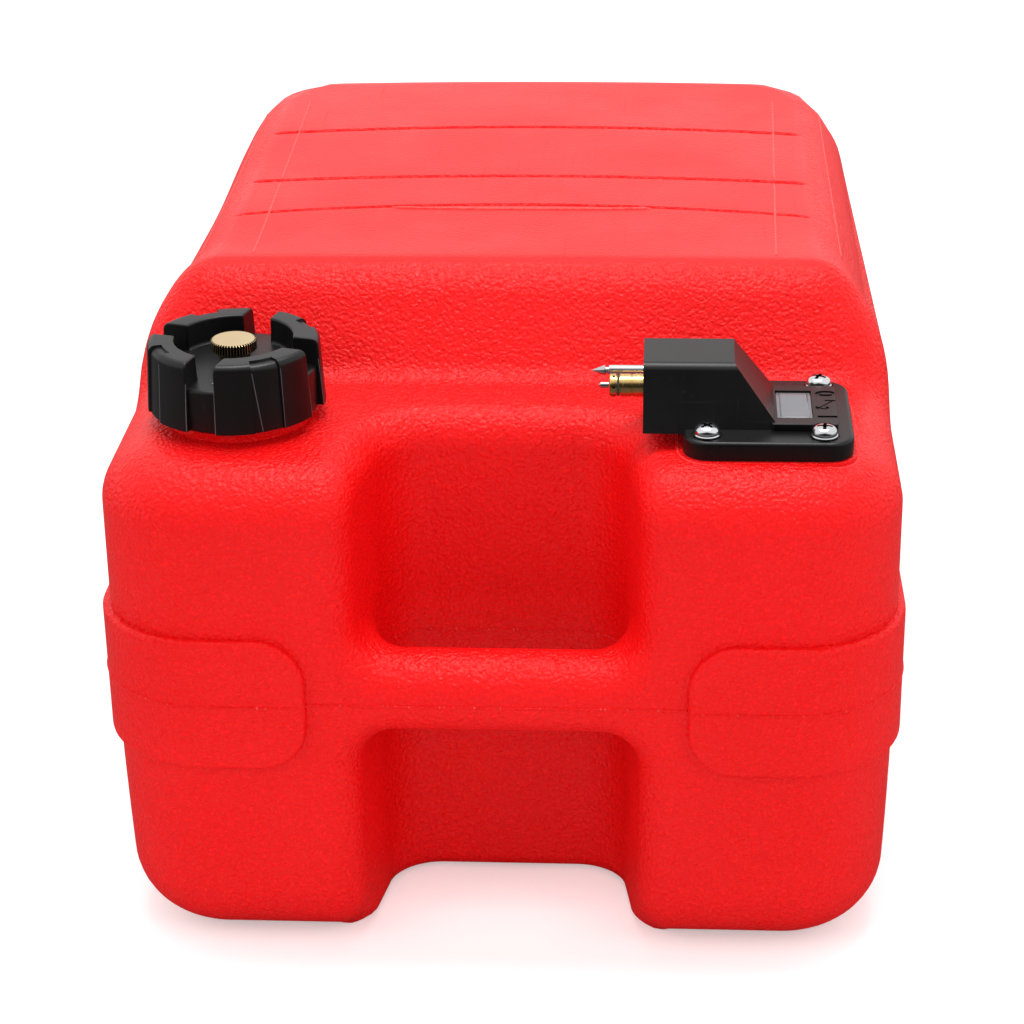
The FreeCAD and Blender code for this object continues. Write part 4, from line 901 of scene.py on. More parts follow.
def cap_outline(kind, inset=0.0):
    """(radius, height) outline of the cap from its lower rim, over the top and in to the middle."""
    top = CAP_HIGH if kind != "gap" else CAP_FLOOR
    bottom_radius, top_radius = CAP_BOTTOM_RADIUS, CAP_TOP_RADIUS
    if kind == "gap":
        bottom_radius = top_radius = CAP_SKIRT_RADIUS
    if kind == "panel":
        bottom_radius -= 0.8 * MM
        top_radius -= 0.8 * MM
    bottom_radius -= inset
    top_radius -= inset
    top -= inset if kind != "gap" else 0
    drop = 0.8 * MM if kind == "panel" else 0.0
    turn = (2.6 if kind != "gap" else 1.8) * MM
    points = []
    for step in range(9):
        t = step / 8
        radius = bottom_radius + (top_radius - bottom_radius) * t
        points.append((radius, CAP_LOW + (top - drop - turn - CAP_LOW) * t))
    for step in range(1, 7):
        angle = math.pi / 2 * step / 6
        points.append((top_radius - turn * (1 - math.cos(angle)), top - drop - turn * (1 - math.sin(angle))))
    split = 27.2 * MM
    inner = CAP_WELL_RADIUS + inset
    lip = 0.9 * MM
    if kind == "gap":
        points += [(split, top), (split - 0.25 * MM, top), (inner + lip, top)]
        points += [(inner + lip * (1 - t), top) for t in (0.3, 0.6, 1.0)]
        points += [(inner, top)] * 5
    else:
        points += [(split, top - drop), (split - 0.25 * MM, top), (inner + lip, top)]
        for step in range(1, 4):
            angle = math.pi / 2 * step / 3
            points.append((inner + lip * (1 - math.sin(angle)), top - lip * (1 - math.cos(angle))))
        foot = 1.4 * MM
        points.append((inner, CAP_FLOOR + foot))
        for step in range(1, 5):
            angle = math.pi / 2 * step / 4
            points.append((inner - foot * (1 - math.cos(angle)), CAP_FLOOR + foot * (1 - math.sin(angle))))
    for radius in (18.0, 14.0, 10.0):
        points.append((radius * MM, CAP_FLOOR))
    points += [(BOSS_RADIUS + 0.6 * MM, CAP_FLOOR), (BOSS_RADIUS, CAP_FLOOR + 0.15 * MM), (BUSH_RADIUS + 0.02 * MM, CAP_FLOOR + 0.15 * MM)]
    return points


def gap_edge(radius, along=0.0):
    """Angle from a gap's middle to its side at this radius, or to a line along past the side."""
    return math.asin(min((CAP_HALF_GAP + along) / radius, 0.5))


def cap_mesh():
    """Cap body: outlines side by side round the axis, with square steps where one kind follows another."""
    sector = math.radians(360 / CAP_GRIPS)
    edge = 0.7 * MM
    rise = [(0.0, edge)]
    for degrees in (22.5, 45, 67.5, 90):
        angle = math.radians(degrees)
        rise.append((edge * (1 - math.cos(angle)), edge * (1 - math.sin(angle))))
    side = gap_edge(CAP_TOP_RADIUS, edge)

    def share(degrees_from_middle):
        """Place between a grip's two sides for an angle measured from the grip's middle."""
        return 0.5 + math.radians(degrees_from_middle) / (sector - 2 * side)

    half_panel, crease = CAP_HALF_PANEL, 0.35
    places = [("grip", share(-half_panel) * t / 5) for t in range(6)]
    places += [("panel", share(-half_panel + crease + 2 * (half_panel - crease) * t / 8)) for t in range(9)]
    places += [("grip", share(half_panel) + (1 - share(half_panel)) * t / 5) for t in range(6)]
    outlines = []
    for grip in range(CAP_GRIPS):
        middle_angle = math.radians(CAP_GAP_TURN) + sector * grip
        outlines += [("gap", 0.0, middle_angle, "across", -1 + step / 3) for step in range(7)]
        outlines += [("grip", inset, middle_angle, "after", along) for along, inset in rise[:-1]]
        outlines += [(kind, 0.0, middle_angle, "between", place) for kind, place in places]
        outlines += [("grip", inset, middle_angle + sector, "before", along) for along, inset in reversed(rise[:-1])]
    rows = []
    for kind, inset, base, way, value in outlines:
        row = []
        for radius, height in cap_outline(kind, inset):
            if way == "across":
                angle = base + value * gap_edge(radius)
            elif way == "after":
                angle = base + gap_edge(radius, value)
            elif way == "before":
                angle = base - gap_edge(radius, value)
            else:
                first = gap_edge(radius, edge)
                angle = base + first + value * (sector - 2 * first)
            row.append(Vector((CAP.x + radius * math.sin(angle), CAP.y - radius * math.cos(angle), height)))
        rows.append(row)
    count, length = len(rows), len(rows[0])
    points = [p for row in rows for p in row]
    faces = []
    for i in range(count):
        a, b = i * length, (i + 1) % count * length
        for j in range(length - 1):
            faces.append((a + j, b + j, b + j + 1, a + j + 1))
    first_inside = len(points)
    inside = [
        (CAP_INSIDE_RADIUS, CAP_LOW), (CAP_INSIDE_RADIUS, CAP_ROOF_UNDER), (BUSH_RADIUS + 0.02 * MM, CAP_ROOF_UNDER),
    ]
    for row in rows:
        way = Vector((row[0].x - CAP.x, row[0].y - CAP.y, 0)).normalized()
        for radius, height in inside:
            points.append(Vector((CAP.x, CAP.y, height)) + way * radius)
    for i in range(count):
        a, b = i * length, (i + 1) % count * length
        c, d = first_inside + i * 3, first_inside + (i + 1) % count * 3
        faces.append((b, a, c, d))
        for j in range(2):
            faces.append((d + j, c + j, c + j + 1, d + j + 1))
        faces.append((d + 2, c + 2, a + length - 1, b + length - 1))
    return mesh_from(points, faces)


def cap_seams(cap):
    """Thin lighter lines on the outside of the grips, two on the parting seam lines and the rest along the gap and
    panel edges, all lighter as a painted edge highlight, and a small raised dot in the well.
    """
    meshes = []
    tree = surface_of(cap)
    lines = [(CAP_GAP_TURN + 45 - 9.4, 5.0, 0.24), (CAP_GAP_TURN + 225 - 9.4, 4.0, 0.24)]
    edge = math.degrees(math.asin(CAP_HALF_GAP / CAP_BOTTOM_RADIUS)) + 0.55
    for grip in range(CAP_GRIPS):
        gap = CAP_GAP_TURN + grip * 360 / CAP_GRIPS
        panel_edge = gap + 45 + CAP_HALF_PANEL + 0.6
        # Lines along both sides of each gap and along each panel's edge: painted edge highlights.
        lines += [(gap - edge, 0.0, 0.20), (gap + edge, 0.0, 0.20), (panel_edge, 0.0, 0.18)]
    for degrees, lean, radius in lines:
        points = []
        for step in range(16):
            t = step / 15
            angle = math.radians(degrees + lean * t)
            z = CAP_HIGH - 3.2 * MM - (CAP_HIGH - CAP_LOW - 3.4 * MM) * t
            way = Vector((math.sin(angle), -math.cos(angle), 0))
            hit, normal, _, _ = tree.ray_cast(Vector((CAP.x, CAP.y, z)) + way * 50 * MM, -way)
            if hit is not None:
                points.append(hit - normal * 0.06 * MM)
        meshes.append(run_tree(BEAD, path_mesh(points), {
            "Radius": radius * MM, "Spacing": 1.5 * MM, "Crumb Size": 0.12 * MM, "Crumb Share": 0.2,
            "Seed": 3, "Finish": BLACK_EDGE_HIGHLIGHT,
        }))
    angle = math.radians(CAP_GAP_TURN + 4)
    dot = CAP + Vector((math.sin(angle), -math.cos(angle), 0)) * 23.2 * MM
    outline = [(0.0, 0.40), (0.5, 0.38), (0.72, 0.25), (0.8, 0.0), (0.0, -0.1)]
    profile = [(r * MM, h * MM) for r, h in outline]
    meshes.append(turned(profile, (dot.x, dot.y, CAP_FLOOR), count=20))
    return joined(meshes)


def build_cap():
    cap = cap_mesh()
    seam_and_highlight_lines = cap_seams(cap)
    shade(cap, 32)
    shade(seam_and_highlight_lines, 32)
    finish_piece("cap_seams", seam_and_highlight_lines, BLACK_EDGE_HIGHLIGHT, "cap", ())
    return even_normals(finish_piece("cap_body", cap, BLACK_CAP, "cap", ("filler_cap",)))


# ---- Vent screw ----
KNOB_RADIUS = 8.5 * MM
KNOB_TEETH = 48


def build_vent():
    low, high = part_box("vent_screw")
    knob_low = high.z - 4.2 * MM
    stem = 2.5 * MM
    rim = 0.35 * MM
    profile = [
        (0.0, low.z), (stem - 0.6 * MM, low.z), (stem, low.z + 0.6 * MM), (stem, knob_low),
        (KNOB_RADIUS - 1.0 * MM, knob_low), (KNOB_RADIUS, knob_low + rim), (KNOB_RADIUS, high.z - rim),
        (KNOB_RADIUS - rim, high.z - 0.06 * MM), (KNOB_RADIUS - 0.75 * MM, high.z),
        (KNOB_RADIUS - 0.9 * MM, high.z), (KNOB_RADIUS * 0.5, high.z), (0.0, high.z),
    ]

    def teeth(row, angle):
        if row not in (5, 6, 7):
            return 0.0
        phase = angle * KNOB_TEETH / (2 * math.pi) % 1.0
        depth = 0.80 * MM if row != 7 else 0.60 * MM
        return -depth if 0.45 < phase < 0.95 else 0.0

    knob = turned(profile, (CAP.x, CAP.y, 0), count=KNOB_TEETH * 4, wobble=teeth)
    shade(knob, 25)
    piece = finish_piece("vent_knob", knob, BRASS_KNOB, "vent", ("vent_screw",))
    # The faces down in the knurl grooves take the dark brass: painted shade in the grooves.
    knob.materials.append(BRASS_GROOVE_SHADE)
    for face in knob.polygons:
        away = math.hypot(face.center.x - CAP.x, face.center.y - CAP.y)
        if knob_low + rim * 0.5 < face.center.z < high.z - 0.15 * MM and KNOB_RADIUS - 1.0 * MM < away < KNOB_RADIUS - 0.3 * MM:
            face.material_index = 1
    return piece


build_cap()
build_vent()


# ---- Meter housing ----
HOUSING_LOW, HOUSING_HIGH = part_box("meter_housing")
PLATE_SPAN = Vector((61.4 * MM, 61.5 * MM, 0))
PLATE_CENTRE = Vector((HOUSING_HIGH.x - PLATE_SPAN.x / 2, HOUSING_LOW.y + PLATE_SPAN.y / 2, 0))
PLATE_BOTTOM = PLATE_HIGH.z
PLATE_TOP = PLATE_BOTTOM + 6.3 * MM
PLATE_CORNER = 9.5 * MM
FIELD_TOP = PLATE_TOP + 2.7 * MM
WINDOW_LOW, WINDOW_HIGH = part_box("gauge_window")
BLOCK_LEFT = HOUSING_LOW.x
BLOCK_TOP = HOUSING_HIGH.z - 1.2 * MM
BLOCK_FRONT = PLATE_CENTRE.y - 19.1 * MM
BLOCK_BACK = BLOCK_FRONT + 38.5 * MM
BLOCK_FRONT_LEAN = 10.3 * MM
BLOCK_BACK_LEAN = 2.5 * MM
BLOCK_RIGHT = PLATE_CENTRE.x - 12.2 * MM
SLOPE_FOOT = PLATE_CENTRE.x + 2.5 * MM
NIPPLE = middle("nipple_ring")
GUIDE = middle("guide_pin")


def block_mesh():
    """Connector block: front and back lean in, the right end slopes down to the window's field."""
    round_front = 4.0 * MM
    rows = []
    height = BLOCK_TOP - PLATE_TOP
    lean = math.atan2(BLOCK_FRONT_LEAN, height)

    def section(x, top):
        """Outline in the YZ plane at x, cut off level at top."""
        share = (top - PLATE_TOP) / height
        front = BLOCK_FRONT + BLOCK_FRONT_LEAN * share
        back = BLOCK_BACK - BLOCK_BACK_LEAN * share
        points = [(x, BLOCK_FRONT, PLATE_TOP - 1.5 * MM)]
        angle_end = math.pi / 2 - lean
        reach = round_front * math.tan(angle_end / 2)
        centre = Vector((front + reach, top - round_front))
        for step in range(7):
            a = math.pi - lean - angle_end * step / 6
            points.append((x, centre.x + round_front * math.cos(a), centre.y + round_front * math.sin(a)))
        points.append((x, back, top))
        points.append((x, BLOCK_BACK, PLATE_TOP - 1.5 * MM))
        return points

    rows.append(section(BLOCK_LEFT, BLOCK_TOP))
    rows.append(section(BLOCK_RIGHT, BLOCK_TOP))
    rows.append(section(SLOPE_FOOT + 4 * MM, BLOCK_TOP))
    block = loft([list(reversed(row)) for row in rows])
    slope = FIELD_TOP - BLOCK_TOP
    run = SLOPE_FOOT - BLOCK_RIGHT
    far = 60 * MM
    x0, z0 = BLOCK_RIGHT - run * 0.2, BLOCK_TOP - slope * 0.2
    x1, z1 = SLOPE_FOOT + run, FIELD_TOP + slope
    corners = [(x0, z0), (x1, z1), (x1 + far, z1), (x1 + far, z0 + far), (x0, z0 + far)]
    tool = loft([[(x, y, z) for x, z in corners] for y in (BLOCK_FRONT - far, BLOCK_BACK + far)])
    return cut_away(block, [tool])


def text_mesh(words, size, depth):
    """Upright sans figures as a solid mesh, centred on the origin."""
    data = bpy.data.curves.new("figures", "FONT")
    data.body = words
    data.size = size
    data.extrude = depth
    data.align_x = "CENTER"
    data.align_y = "CENTER"
    data.resolution_u = 3
    data.offset = 0.035 * size
    thing = bpy.data.objects.new("figures", data)
    bpy.context.scene.collection.objects.link(thing)
    mesh = evaluated(thing)
    bpy.data.curves.remove(data)
    form = bmesh.new()
    form.from_mesh(mesh)
    bmesh.ops.remove_doubles(form, verts=form.verts, dist=1e-6)
    bmesh.ops.recalc_face_normals(form, faces=form.faces)
    form.to_mesh(mesh)
    form.free()
    return mesh


def gauge_figures():
    """Cutters for the figures beside the window, read from the right-hand side."""
    tools = []
    x = WINDOW_HIGH.x + 5.0 * MM
    turn = Matrix.Rotation(math.radians(-90), 4, "Z")
    span = WINDOW_HIGH.y - WINDOW_LOW.y
    for words, place, size in (("0", 0.90, 10.5), ("1", 0.64, 6.5), ("2", 0.36, 6.5), ("1", 0.05, 10.5)):
        shift = 0.0 if size > 8 else (1.9 * MM if words == "1" else -1.7 * MM)
        mesh = text_mesh(words, size * MM, 0.5 * MM)
        place_at = Vector((x + shift, WINDOW_LOW.y + span * place, FIELD_TOP))
        tools.append(moved(mesh, Matrix.Translation(place_at) @ turn))
    bar = box_mesh((-4.2 * MM, -0.3 * MM, -0.5 * MM), (4.2 * MM, 0.3 * MM, 0.5 * MM))
    lean = Matrix.Rotation(math.radians(52), 4, "Z")
    tools.append(moved(bar, Matrix.Translation((x + 0.2 * MM, WINDOW_LOW.y + span * 0.51, FIELD_TOP)) @ lean))
    return tools


def housing_mesh():
    plate = rounded_plate(PLATE_CENTRE, PLATE_SPAN.x, PLATE_SPAN.y, PLATE_CORNER, PLATE_LOW.z + 0.3 * MM, PLATE_TOP, 1.5 * MM, 4)
    field_left = SLOPE_FOOT - 1.5 * MM
    field_right = PLATE_CENTRE.x + 25.1 * MM
    field_back = PLATE_CENTRE.y + 18.2 * MM
    centre = Vector(((field_left + field_right) / 2, (BLOCK_FRONT + field_back) / 2, 0))
    field = rounded_plate(
        centre, field_right - field_left, field_back - BLOCK_FRONT, 1.4 * MM,
        PLATE_TOP - 1 * MM, FIELD_TOP, 0.5 * MM,
    )
    parts = [plate, block_mesh(), field]
    whole = add_object("housing", parts[0])
    for part in parts[1:]:
        helper = add_object("add", part)
        helper.hide_render = True
        step = whole.modifiers.new("join", "BOOLEAN")
        step.operation = "UNION"
        step.solver = "EXACT"
        step.object = helper
    mesh = evaluated(whole)
    for helper in [o for o in bpy.data.objects if o.name.startswith("add")]:
        bpy.data.objects.remove(helper)
    deep = 30 * MM
    tools = [box_mesh(WINDOW_LOW, (WINDOW_HIGH.x, WINDOW_HIGH.y, FIELD_TOP + deep))]
    ledge = 1.2 * MM
    tools.append(box_mesh(
        (WINDOW_LOW.x + ledge, WINDOW_LOW.y + ledge, PLATE_BOTTOM - 1 * MM),
        (WINDOW_HIGH.x - ledge, WINDOW_HIGH.y - ledge, WINDOW_LOW.z + 0.01 * MM),
    ))
    for washer in SCREW_PLACES:
        room = [(0.0, PLATE_BOTTOM - 1 * MM), (2.6 * MM, PLATE_BOTTOM - 1 * MM), (2.6 * MM, PLATE_TOP - 0.35 * MM),
                (5.5 * MM, PLATE_TOP - 0.35 * MM), (5.5 * MM, PLATE_TOP + 6 * MM), (0.0, PLATE_TOP + 6 * MM)]
        tools.append(turned(room, (washer.x, washer.y, 0), count=48))
    for place, radius in ((NIPPLE, 4.8 * MM), (GUIDE, 2.6 * MM)):
        hole = [(0.0, BLOCK_LEFT - 2 * MM), (radius, BLOCK_LEFT - 2 * MM), (radius, BLOCK_LEFT + 10 * MM), (0.0, BLOCK_LEFT + 10 * MM)]
        tools.append(turned(hole, (0, place.y, place.z), "X", 40))
    tools += gauge_figures()
    mesh = cut_away(mesh, tools)
    return mesh


def under_housing():
    """The hidden lower half of the housing: spigot and pivot lugs, kept from the solid."""
    form = bmesh.new()
    form.from_mesh(merged_copy("meter_housing"))
    everything = list(form.verts) + list(form.edges) + list(form.faces)
    bmesh.ops.bisect_plane(
        form, geom=everything, dist=1e-7, plane_co=(0, 0, PLATE_BOTTOM - 0.05 * MM), plane_no=(0, 0, 1), clear_outer=True
    )
    edges = [e for e in form.edges if len(e.link_faces) == 1]
    bmesh.ops.holes_fill(form, edges=edges)
    mesh = bpy.data.meshes.new("under")
    form.to_mesh(mesh)
    form.free()
    return mesh


def screw_places():
    """Middles of the four washers, from the solids' mesh."""
    low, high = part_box("screw_washers")
    radius = 4.9 * MM
    return [Vector((x, y, 0)) for y in (low.y + radius, high.y - radius) for x in (low.x + radius, high.x - radius)]


SCREW_PLACES = screw_places()


def build_housing():
    top = housing_mesh()
    form = bmesh.new()
    form.from_mesh(top)
    bmesh.ops.remove_doubles(form, verts=form.verts, dist=2e-6)
    bmesh.ops.dissolve_limit(form, angle_limit=math.radians(0.5), verts=form.verts, edges=form.edges)
    form.to_mesh(top)
    form.free()
    top = bevelled(top, 0.28 * MM, 2, 34)
    whole = joined([top, under_housing()])
    shade(whole, 33)
    return even_normals(finish_piece("meter_body", whole, BLACK_HOUSING, "tank", ("meter_housing",)))


# ---- Screws and washers ----
def screw_tree():
    """Geometry nodes: a copy of one screw at every point, each turned by chance."""
    tree = bpy.data.node_groups.new("screws", "GeometryNodeTree")
    face = tree.interface
    face.new_socket("Geometry", in_out="INPUT", socket_type="NodeSocketGeometry")
    face.new_socket("Screw", in_out="INPUT", socket_type="NodeSocketObject")
    face.new_socket("Most Turn", in_out="INPUT", socket_type=FLOAT).default_value = 1.5
    face.new_socket("Size", in_out="INPUT", socket_type=FLOAT).default_value = 1.0
    face.new_socket("Seed", in_out="INPUT", socket_type="NodeSocketInt").default_value = 5
    face.new_socket("Finish", in_out="INPUT", socket_type="NodeSocketMaterial")
    face.new_socket("Geometry", in_out="OUTPUT", socket_type="NodeSocketGeometry")
    graph = Graph(tree)
    given = graph.add("NodeGroupInput").outputs
    screw = graph.add("GeometryNodeObjectInfo", {"Object": given["Screw"]}).outputs["Geometry"]
    turn = graph.add("FunctionNodeRandomValue", {"Seed": given["Seed"]}, data_type="FLOAT")
    graph.put([s for s in turn.inputs if s.name == "Max" and s.enabled][0], given["Most Turn"])
    way = graph.add("ShaderNodeCombineXYZ", {"Z": [s for s in turn.outputs if s.enabled][0]}).outputs[0]
    placed = graph.add("GeometryNodeInstanceOnPoints", {
        "Points": given["Geometry"], "Instance": screw, "Rotation": way, "Scale": given["Size"],
    }).outputs[0]
    real = graph.add("GeometryNodeRealizeInstances", {"Geometry": placed}).outputs[0]
    done = graph.add("GeometryNodeSetMaterial", {"Geometry": real, "Material": given["Finish"]}).outputs[0]
    graph.add("NodeGroupOutput", {"Geometry": done})
    return tree


def pan_screw():
    """One pan-head screw about the origin, with a cross recess; its head starts at z 0."""
    head, height, shank = 4.6 * MM, 3.2 * MM, 2.5 * MM
    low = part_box("mounting_screws")[0].z - (PLATE_TOP + 0.9 * MM)
    profile = [(0.0, low), (shank - 0.5 * MM, low), (shank, low + 0.6 * MM), (shank, 0.0), (head - 0.25 * MM, 0.0),
               (head, 0.2 * MM), (head, 0.75 * MM)]
    for step in range(1, 10):
        t = math.radians(90 * step / 9)
        profile.append((head * math.cos(t * 0.999) ** 0.72, 0.75 * MM + (height - 0.75 * MM) * math.sin(t)))
    profile[-1] = (0.0, height)
    body = turned(profile, (0, 0, 0), count=64)
    tools = []
    for degrees in (0, 90):
        slot = box_mesh((-2.8 * MM, -0.62 * MM, height - 1.8 * MM), (2.8 * MM, 0.62 * MM, height + 1 * MM))
        tools.append(moved(slot, Matrix.Rotation(math.radians(degrees), 4, "Z")))
    tip = [(0.0, height - 2.2 * MM), (1.0 * MM, height - 1.4 * MM), (1.25 * MM, height + 1 * MM), (0.0, height + 1 * MM)]
    tools.append(turned(tip, (0, 0, 0), count=24))
    return bevelled(cut_away(body, tools), 0.10 * MM, 2, 40)


def build_screws():
    screw = add_object("one_screw", pan_screw())
    shade(screw.data, 40)
    head_low = PLATE_TOP + 0.9 * MM
    points = bpy.data.meshes.new("screw_points")
    points.from_pydata([(p.x, p.y, head_low) for p in SCREW_PLACES], [], [])
    inputs = {"Screw": screw, "Most Turn": 1.5, "Size": 1.0, "Seed": 5, "Finish": CHROME}
    mesh = run_tree(screw_tree(), points, inputs)
    bpy.data.objects.remove(screw)
    finish_piece("pan_screws", mesh, CHROME, "tank", ("mounting_screws",))
    # The faces down in each cross recess take the dark plating: painted shade in the recess.
    mesh.materials.append(RECESS_SHADE_STEEL)
    for face in mesh.polygons:
        middle = min(SCREW_PLACES, key=lambda p: (face.center - p).xy.length)
        away = (face.center - middle).xy.length
        dome = head_low + 0.75 * MM + 2.45 * MM * (1 - min(away / (4.6 * MM), 1.0) ** 2.78) ** 0.5
        if away < 3.0 * MM and head_low + 0.8 * MM < face.center.z < dome - 0.22 * MM:
            face.material_index = 1
    rings = []
    outer, hole = 4.9 * MM, 2.6 * MM
    for p in SCREW_PLACES:
        profile = [(hole, PLATE_TOP), (outer - 0.15 * MM, PLATE_TOP), (outer, PLATE_TOP + 0.2 * MM),
                   (outer, PLATE_TOP + 0.6 * MM), (outer - 0.3 * MM, PLATE_TOP + 0.9 * MM), (hole, PLATE_TOP + 0.9 * MM)]
        rings.append(turned(profile + profile[:1], (p.x, p.y, 0), count=64))
    washers = joined(rings)
    shade(washers, 30)
    finish_piece("plain_washers", washers, CHROME, "tank", ("screw_washers",))


# ---- Gauge window ----
def build_window():
    """Clear block with a bevelled, raised middle."""
    low, high = WINDOW_LOW, WINDOW_HIGH
    gap = 0.06 * MM
    steps = [(gap, low.z), (gap, high.z - 0.55 * MM), (gap + 0.25 * MM, high.z - 0.30 * MM),
             (1.3 * MM, high.z - 0.30 * MM), (1.8 * MM, high.z), (1.8 * MM, high.z)]
    rings = []
    for inset, z in steps[:-1]:
        width, depth = high.x - low.x - 2 * inset, high.y - low.y - 2 * inset
        ring = rounded_rectangle(width, depth, 0.5 * MM, 3)
        rings.append([((low.x + high.x) / 2 + x, (low.y + high.y) / 2 + y, z) for x, y in ring])
    mesh = loft(rings)
    shade(mesh, 20)
    return finish_piece("window_block", mesh, WINDOW, "tank", ("gauge_window",))


# ---- Connector prongs ----
def build_nipple():
    """Brass tube with a bevelled tip, a seal groove and small cross holes."""
    low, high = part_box("fuel_nipple")
    ring_low, ring_high = (corner.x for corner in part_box("nipple_ring"))
    radius, bore, pin_hole = 4.2 * MM, 2.9 * MM, 1.18 * MM
    tip = low.x
    profile = [
        (pin_hole, tip + 0.1 * MM), (pin_hole + 0.3 * MM, tip), (radius - 0.7 * MM, tip), (radius - 0.15 * MM, tip + 0.35 * MM),
        (radius, tip + 0.8 * MM), (radius, ring_low - 0.1 * MM), (radius - 0.12 * MM, ring_low), (radius - 0.6 * MM, ring_low),
        (radius - 0.6 * MM, ring_high), (radius - 0.12 * MM, ring_high), (radius, ring_high + 0.1 * MM),
        (radius, BLOCK_LEFT - 4.6 * MM), (radius - 0.25 * MM, BLOCK_LEFT - 4.4 * MM), (radius - 0.25 * MM, BLOCK_LEFT - 3.9 * MM),
        (radius, BLOCK_LEFT - 3.7 * MM), (radius, BLOCK_LEFT), (4.78 * MM, BLOCK_LEFT), (4.78 * MM, high.x),
        (1.8 * MM, high.x), (1.8 * MM, BLOCK_LEFT + 7 * MM), (bore, BLOCK_LEFT + 7 * MM), (bore, tip + 1.6 * MM),
        (pin_hole, tip + 1.6 * MM), (pin_hole, tip + 0.1 * MM),
    ]
    tube = turned(profile, (0, NIPPLE.y, NIPPLE.z), "X", 64)
    tools = []
    for degrees in (20, 80, 140, 200, 260, 320):
        hole = turned([(0.0, 0.0), (0.55 * MM, 0.0), (0.55 * MM, 8 * MM), (0.0, 8 * MM)], (0, 0, 0), "Z", 16)
        turn = Matrix.Rotation(math.radians(degrees), 4, "X")
        place = Vector((tip + 1.75 * MM, NIPPLE.y, NIPPLE.z))
        tools.append(moved(hole, Matrix.Translation(place) @ turn))
    mesh = cut_away(tube, tools)
    shade(mesh, 28)
    finish_piece("nipple_tube", mesh, BRASS_TURNED, "tank", ("fuel_nipple",))


def build_ring():
    """Seal ring that lies just under the nipple's surface."""
    low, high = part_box("nipple_ring")
    across, thick = 3.62 * MM, 0.42 * MM
    centre_x = (low.x + high.x) / 2
    profile = []
    for step in range(13):
        angle = 2 * math.pi * step / 12
        profile.append((across + thick * math.sin(angle), centre_x + thick * math.cos(angle)))
    mesh = turned(profile, (0, NIPPLE.y, NIPPLE.z), "X", 48)
    shade(mesh, 60)
    finish_piece("nipple_seal", mesh, RUBBER, "tank", ("nipple_ring",))


def build_guide():
    low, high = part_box("guide_pin")
    tip, radius = low.x, 2.05 * MM
    profile = [
        (0.0, tip), (0.18 * MM, tip + 0.05 * MM), (0.35 * MM, tip + 0.3 * MM), (1.95 * MM, tip + 4.3 * MM), (radius, tip + 4.6 * MM),
        (radius - 0.1 * MM, tip + 4.75 * MM), (1.3 * MM, tip + 4.95 * MM), (1.3 * MM, tip + 5.9 * MM),
        (radius - 0.1 * MM, tip + 6.1 * MM), (radius, tip + 6.25 * MM), (radius, BLOCK_LEFT), (2.58 * MM, BLOCK_LEFT),
        (2.58 * MM, high.x), (0.0, high.x),
    ]
    mesh = turned(profile, (0, GUIDE.y, GUIDE.z), "X", 56)
    shade(mesh, 28)
    finish_piece("guide_rod", mesh, STEEL_TURNED, "tank", ("guide_pin",))


def dress(node, material, sharp=35):
    """A node's own shape, joined up, with crisp edges kept and the rest smooth."""
    mesh = merged_copy(node)
    shade(mesh, sharp)
    body = NODES[node].get("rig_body") or body_of(NODES[node])
    return finish_piece(node + "_dressed", mesh, material, body, (node,))


def build_seal():
    """Seal under the plate, a little smaller than the plate."""
    shrink = Matrix.Diagonal((0.988, 0.988, 1, 1))
    place = Matrix.Translation(PLATE_CENTRE)
    mesh = moved(merged_copy("housing_seal"), place @ shrink @ place.inverted())
    shade(mesh, 35)
    finish_piece("seal_sheet", mesh, RUBBER, "tank", ("housing_seal",))


build_housing()
build_seal()
build_screws()
build_window()
build_nipple()
build_ring()
build_guide()
for node, material, slot in (
    ("threaded_inserts", BRASS_TURNED, "brass"),
    ("cap_gasket", RUBBER, "black_rubber"),
    # The bush under the knob is drawn in the darkened brass: painted shade.
    ("vent_bush", BRASS_UNDER_KNOB_SHADE, "brass"),
    ("vent_ring", RUBBER, "black_rubber"),
    ("vent_clip", STEEL, "steel"),
    ("gauge_drum", WHITE, "white_plastic"),
    ("pivot_pin", STEEL, "steel"),
    ("float_arm", STEEL, "steel"),
    ("float_body", FOAM, "float_foam"),
    ("float_clips", STEEL, "steel"),
    ("pickup_tube", HOSE, "clear_plastic"),
    ("tube_clamp", STEEL, "steel"),
    ("pickup_strainer", WHITE, "white_plastic"),
    ("valve_pin", STEEL_TURNED, "steel"),
):
    dress(node, material)


def build_spring():
    """Valve spring: the node's own shape, joined up and smoothed, with a mesh of its own."""
    spring = dress("valve_spring", STEEL, 50)
    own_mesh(spring)


build_spring()


# ---- Camera ----
CAMERA_PLACE = Vector((0.0632, -1.0560, 0.5798))
CAMERA_PITCH = math.radians(24.7159)
CAMERA_YAW = math.radians(-3.7721)
CAMERA_ROLL = math.radians(-0.9468)
FOCAL_PIXELS = 2660.0


def add_camera():
    data = bpy.data.cameras.new("camera")
    data.sensor_width = SENSOR_WIDTH
    data.lens = SENSOR_WIDTH * FOCAL_PIXELS / IMAGE_WIDTH
    data.clip_start = 0.05
    data.clip_end = 50
    camera = bpy.data.objects.new("camera", data)
    bpy.context.scene.collection.objects.link(camera)
    forward = Vector((
        math.sin(CAMERA_YAW) * math.cos(CAMERA_PITCH),
        math.cos(CAMERA_YAW) * math.cos(CAMERA_PITCH),
        -math.sin(CAMERA_PITCH),
    ))
    right = Vector((math.cos(CAMERA_YAW), -math.sin(CAMERA_YAW), 0))
    up = right.cross(forward)
    side = right * math.cos(CAMERA_ROLL) + up * math.sin(CAMERA_ROLL)
    top = up * math.cos(CAMERA_ROLL) - right * math.sin(CAMERA_ROLL)
    turn = Matrix((side, top, -forward)).transposed()
    camera.matrix_world = Matrix.Translation(CAMERA_PLACE) @ turn.to_4x4()
    bpy.context.scene.camera = camera


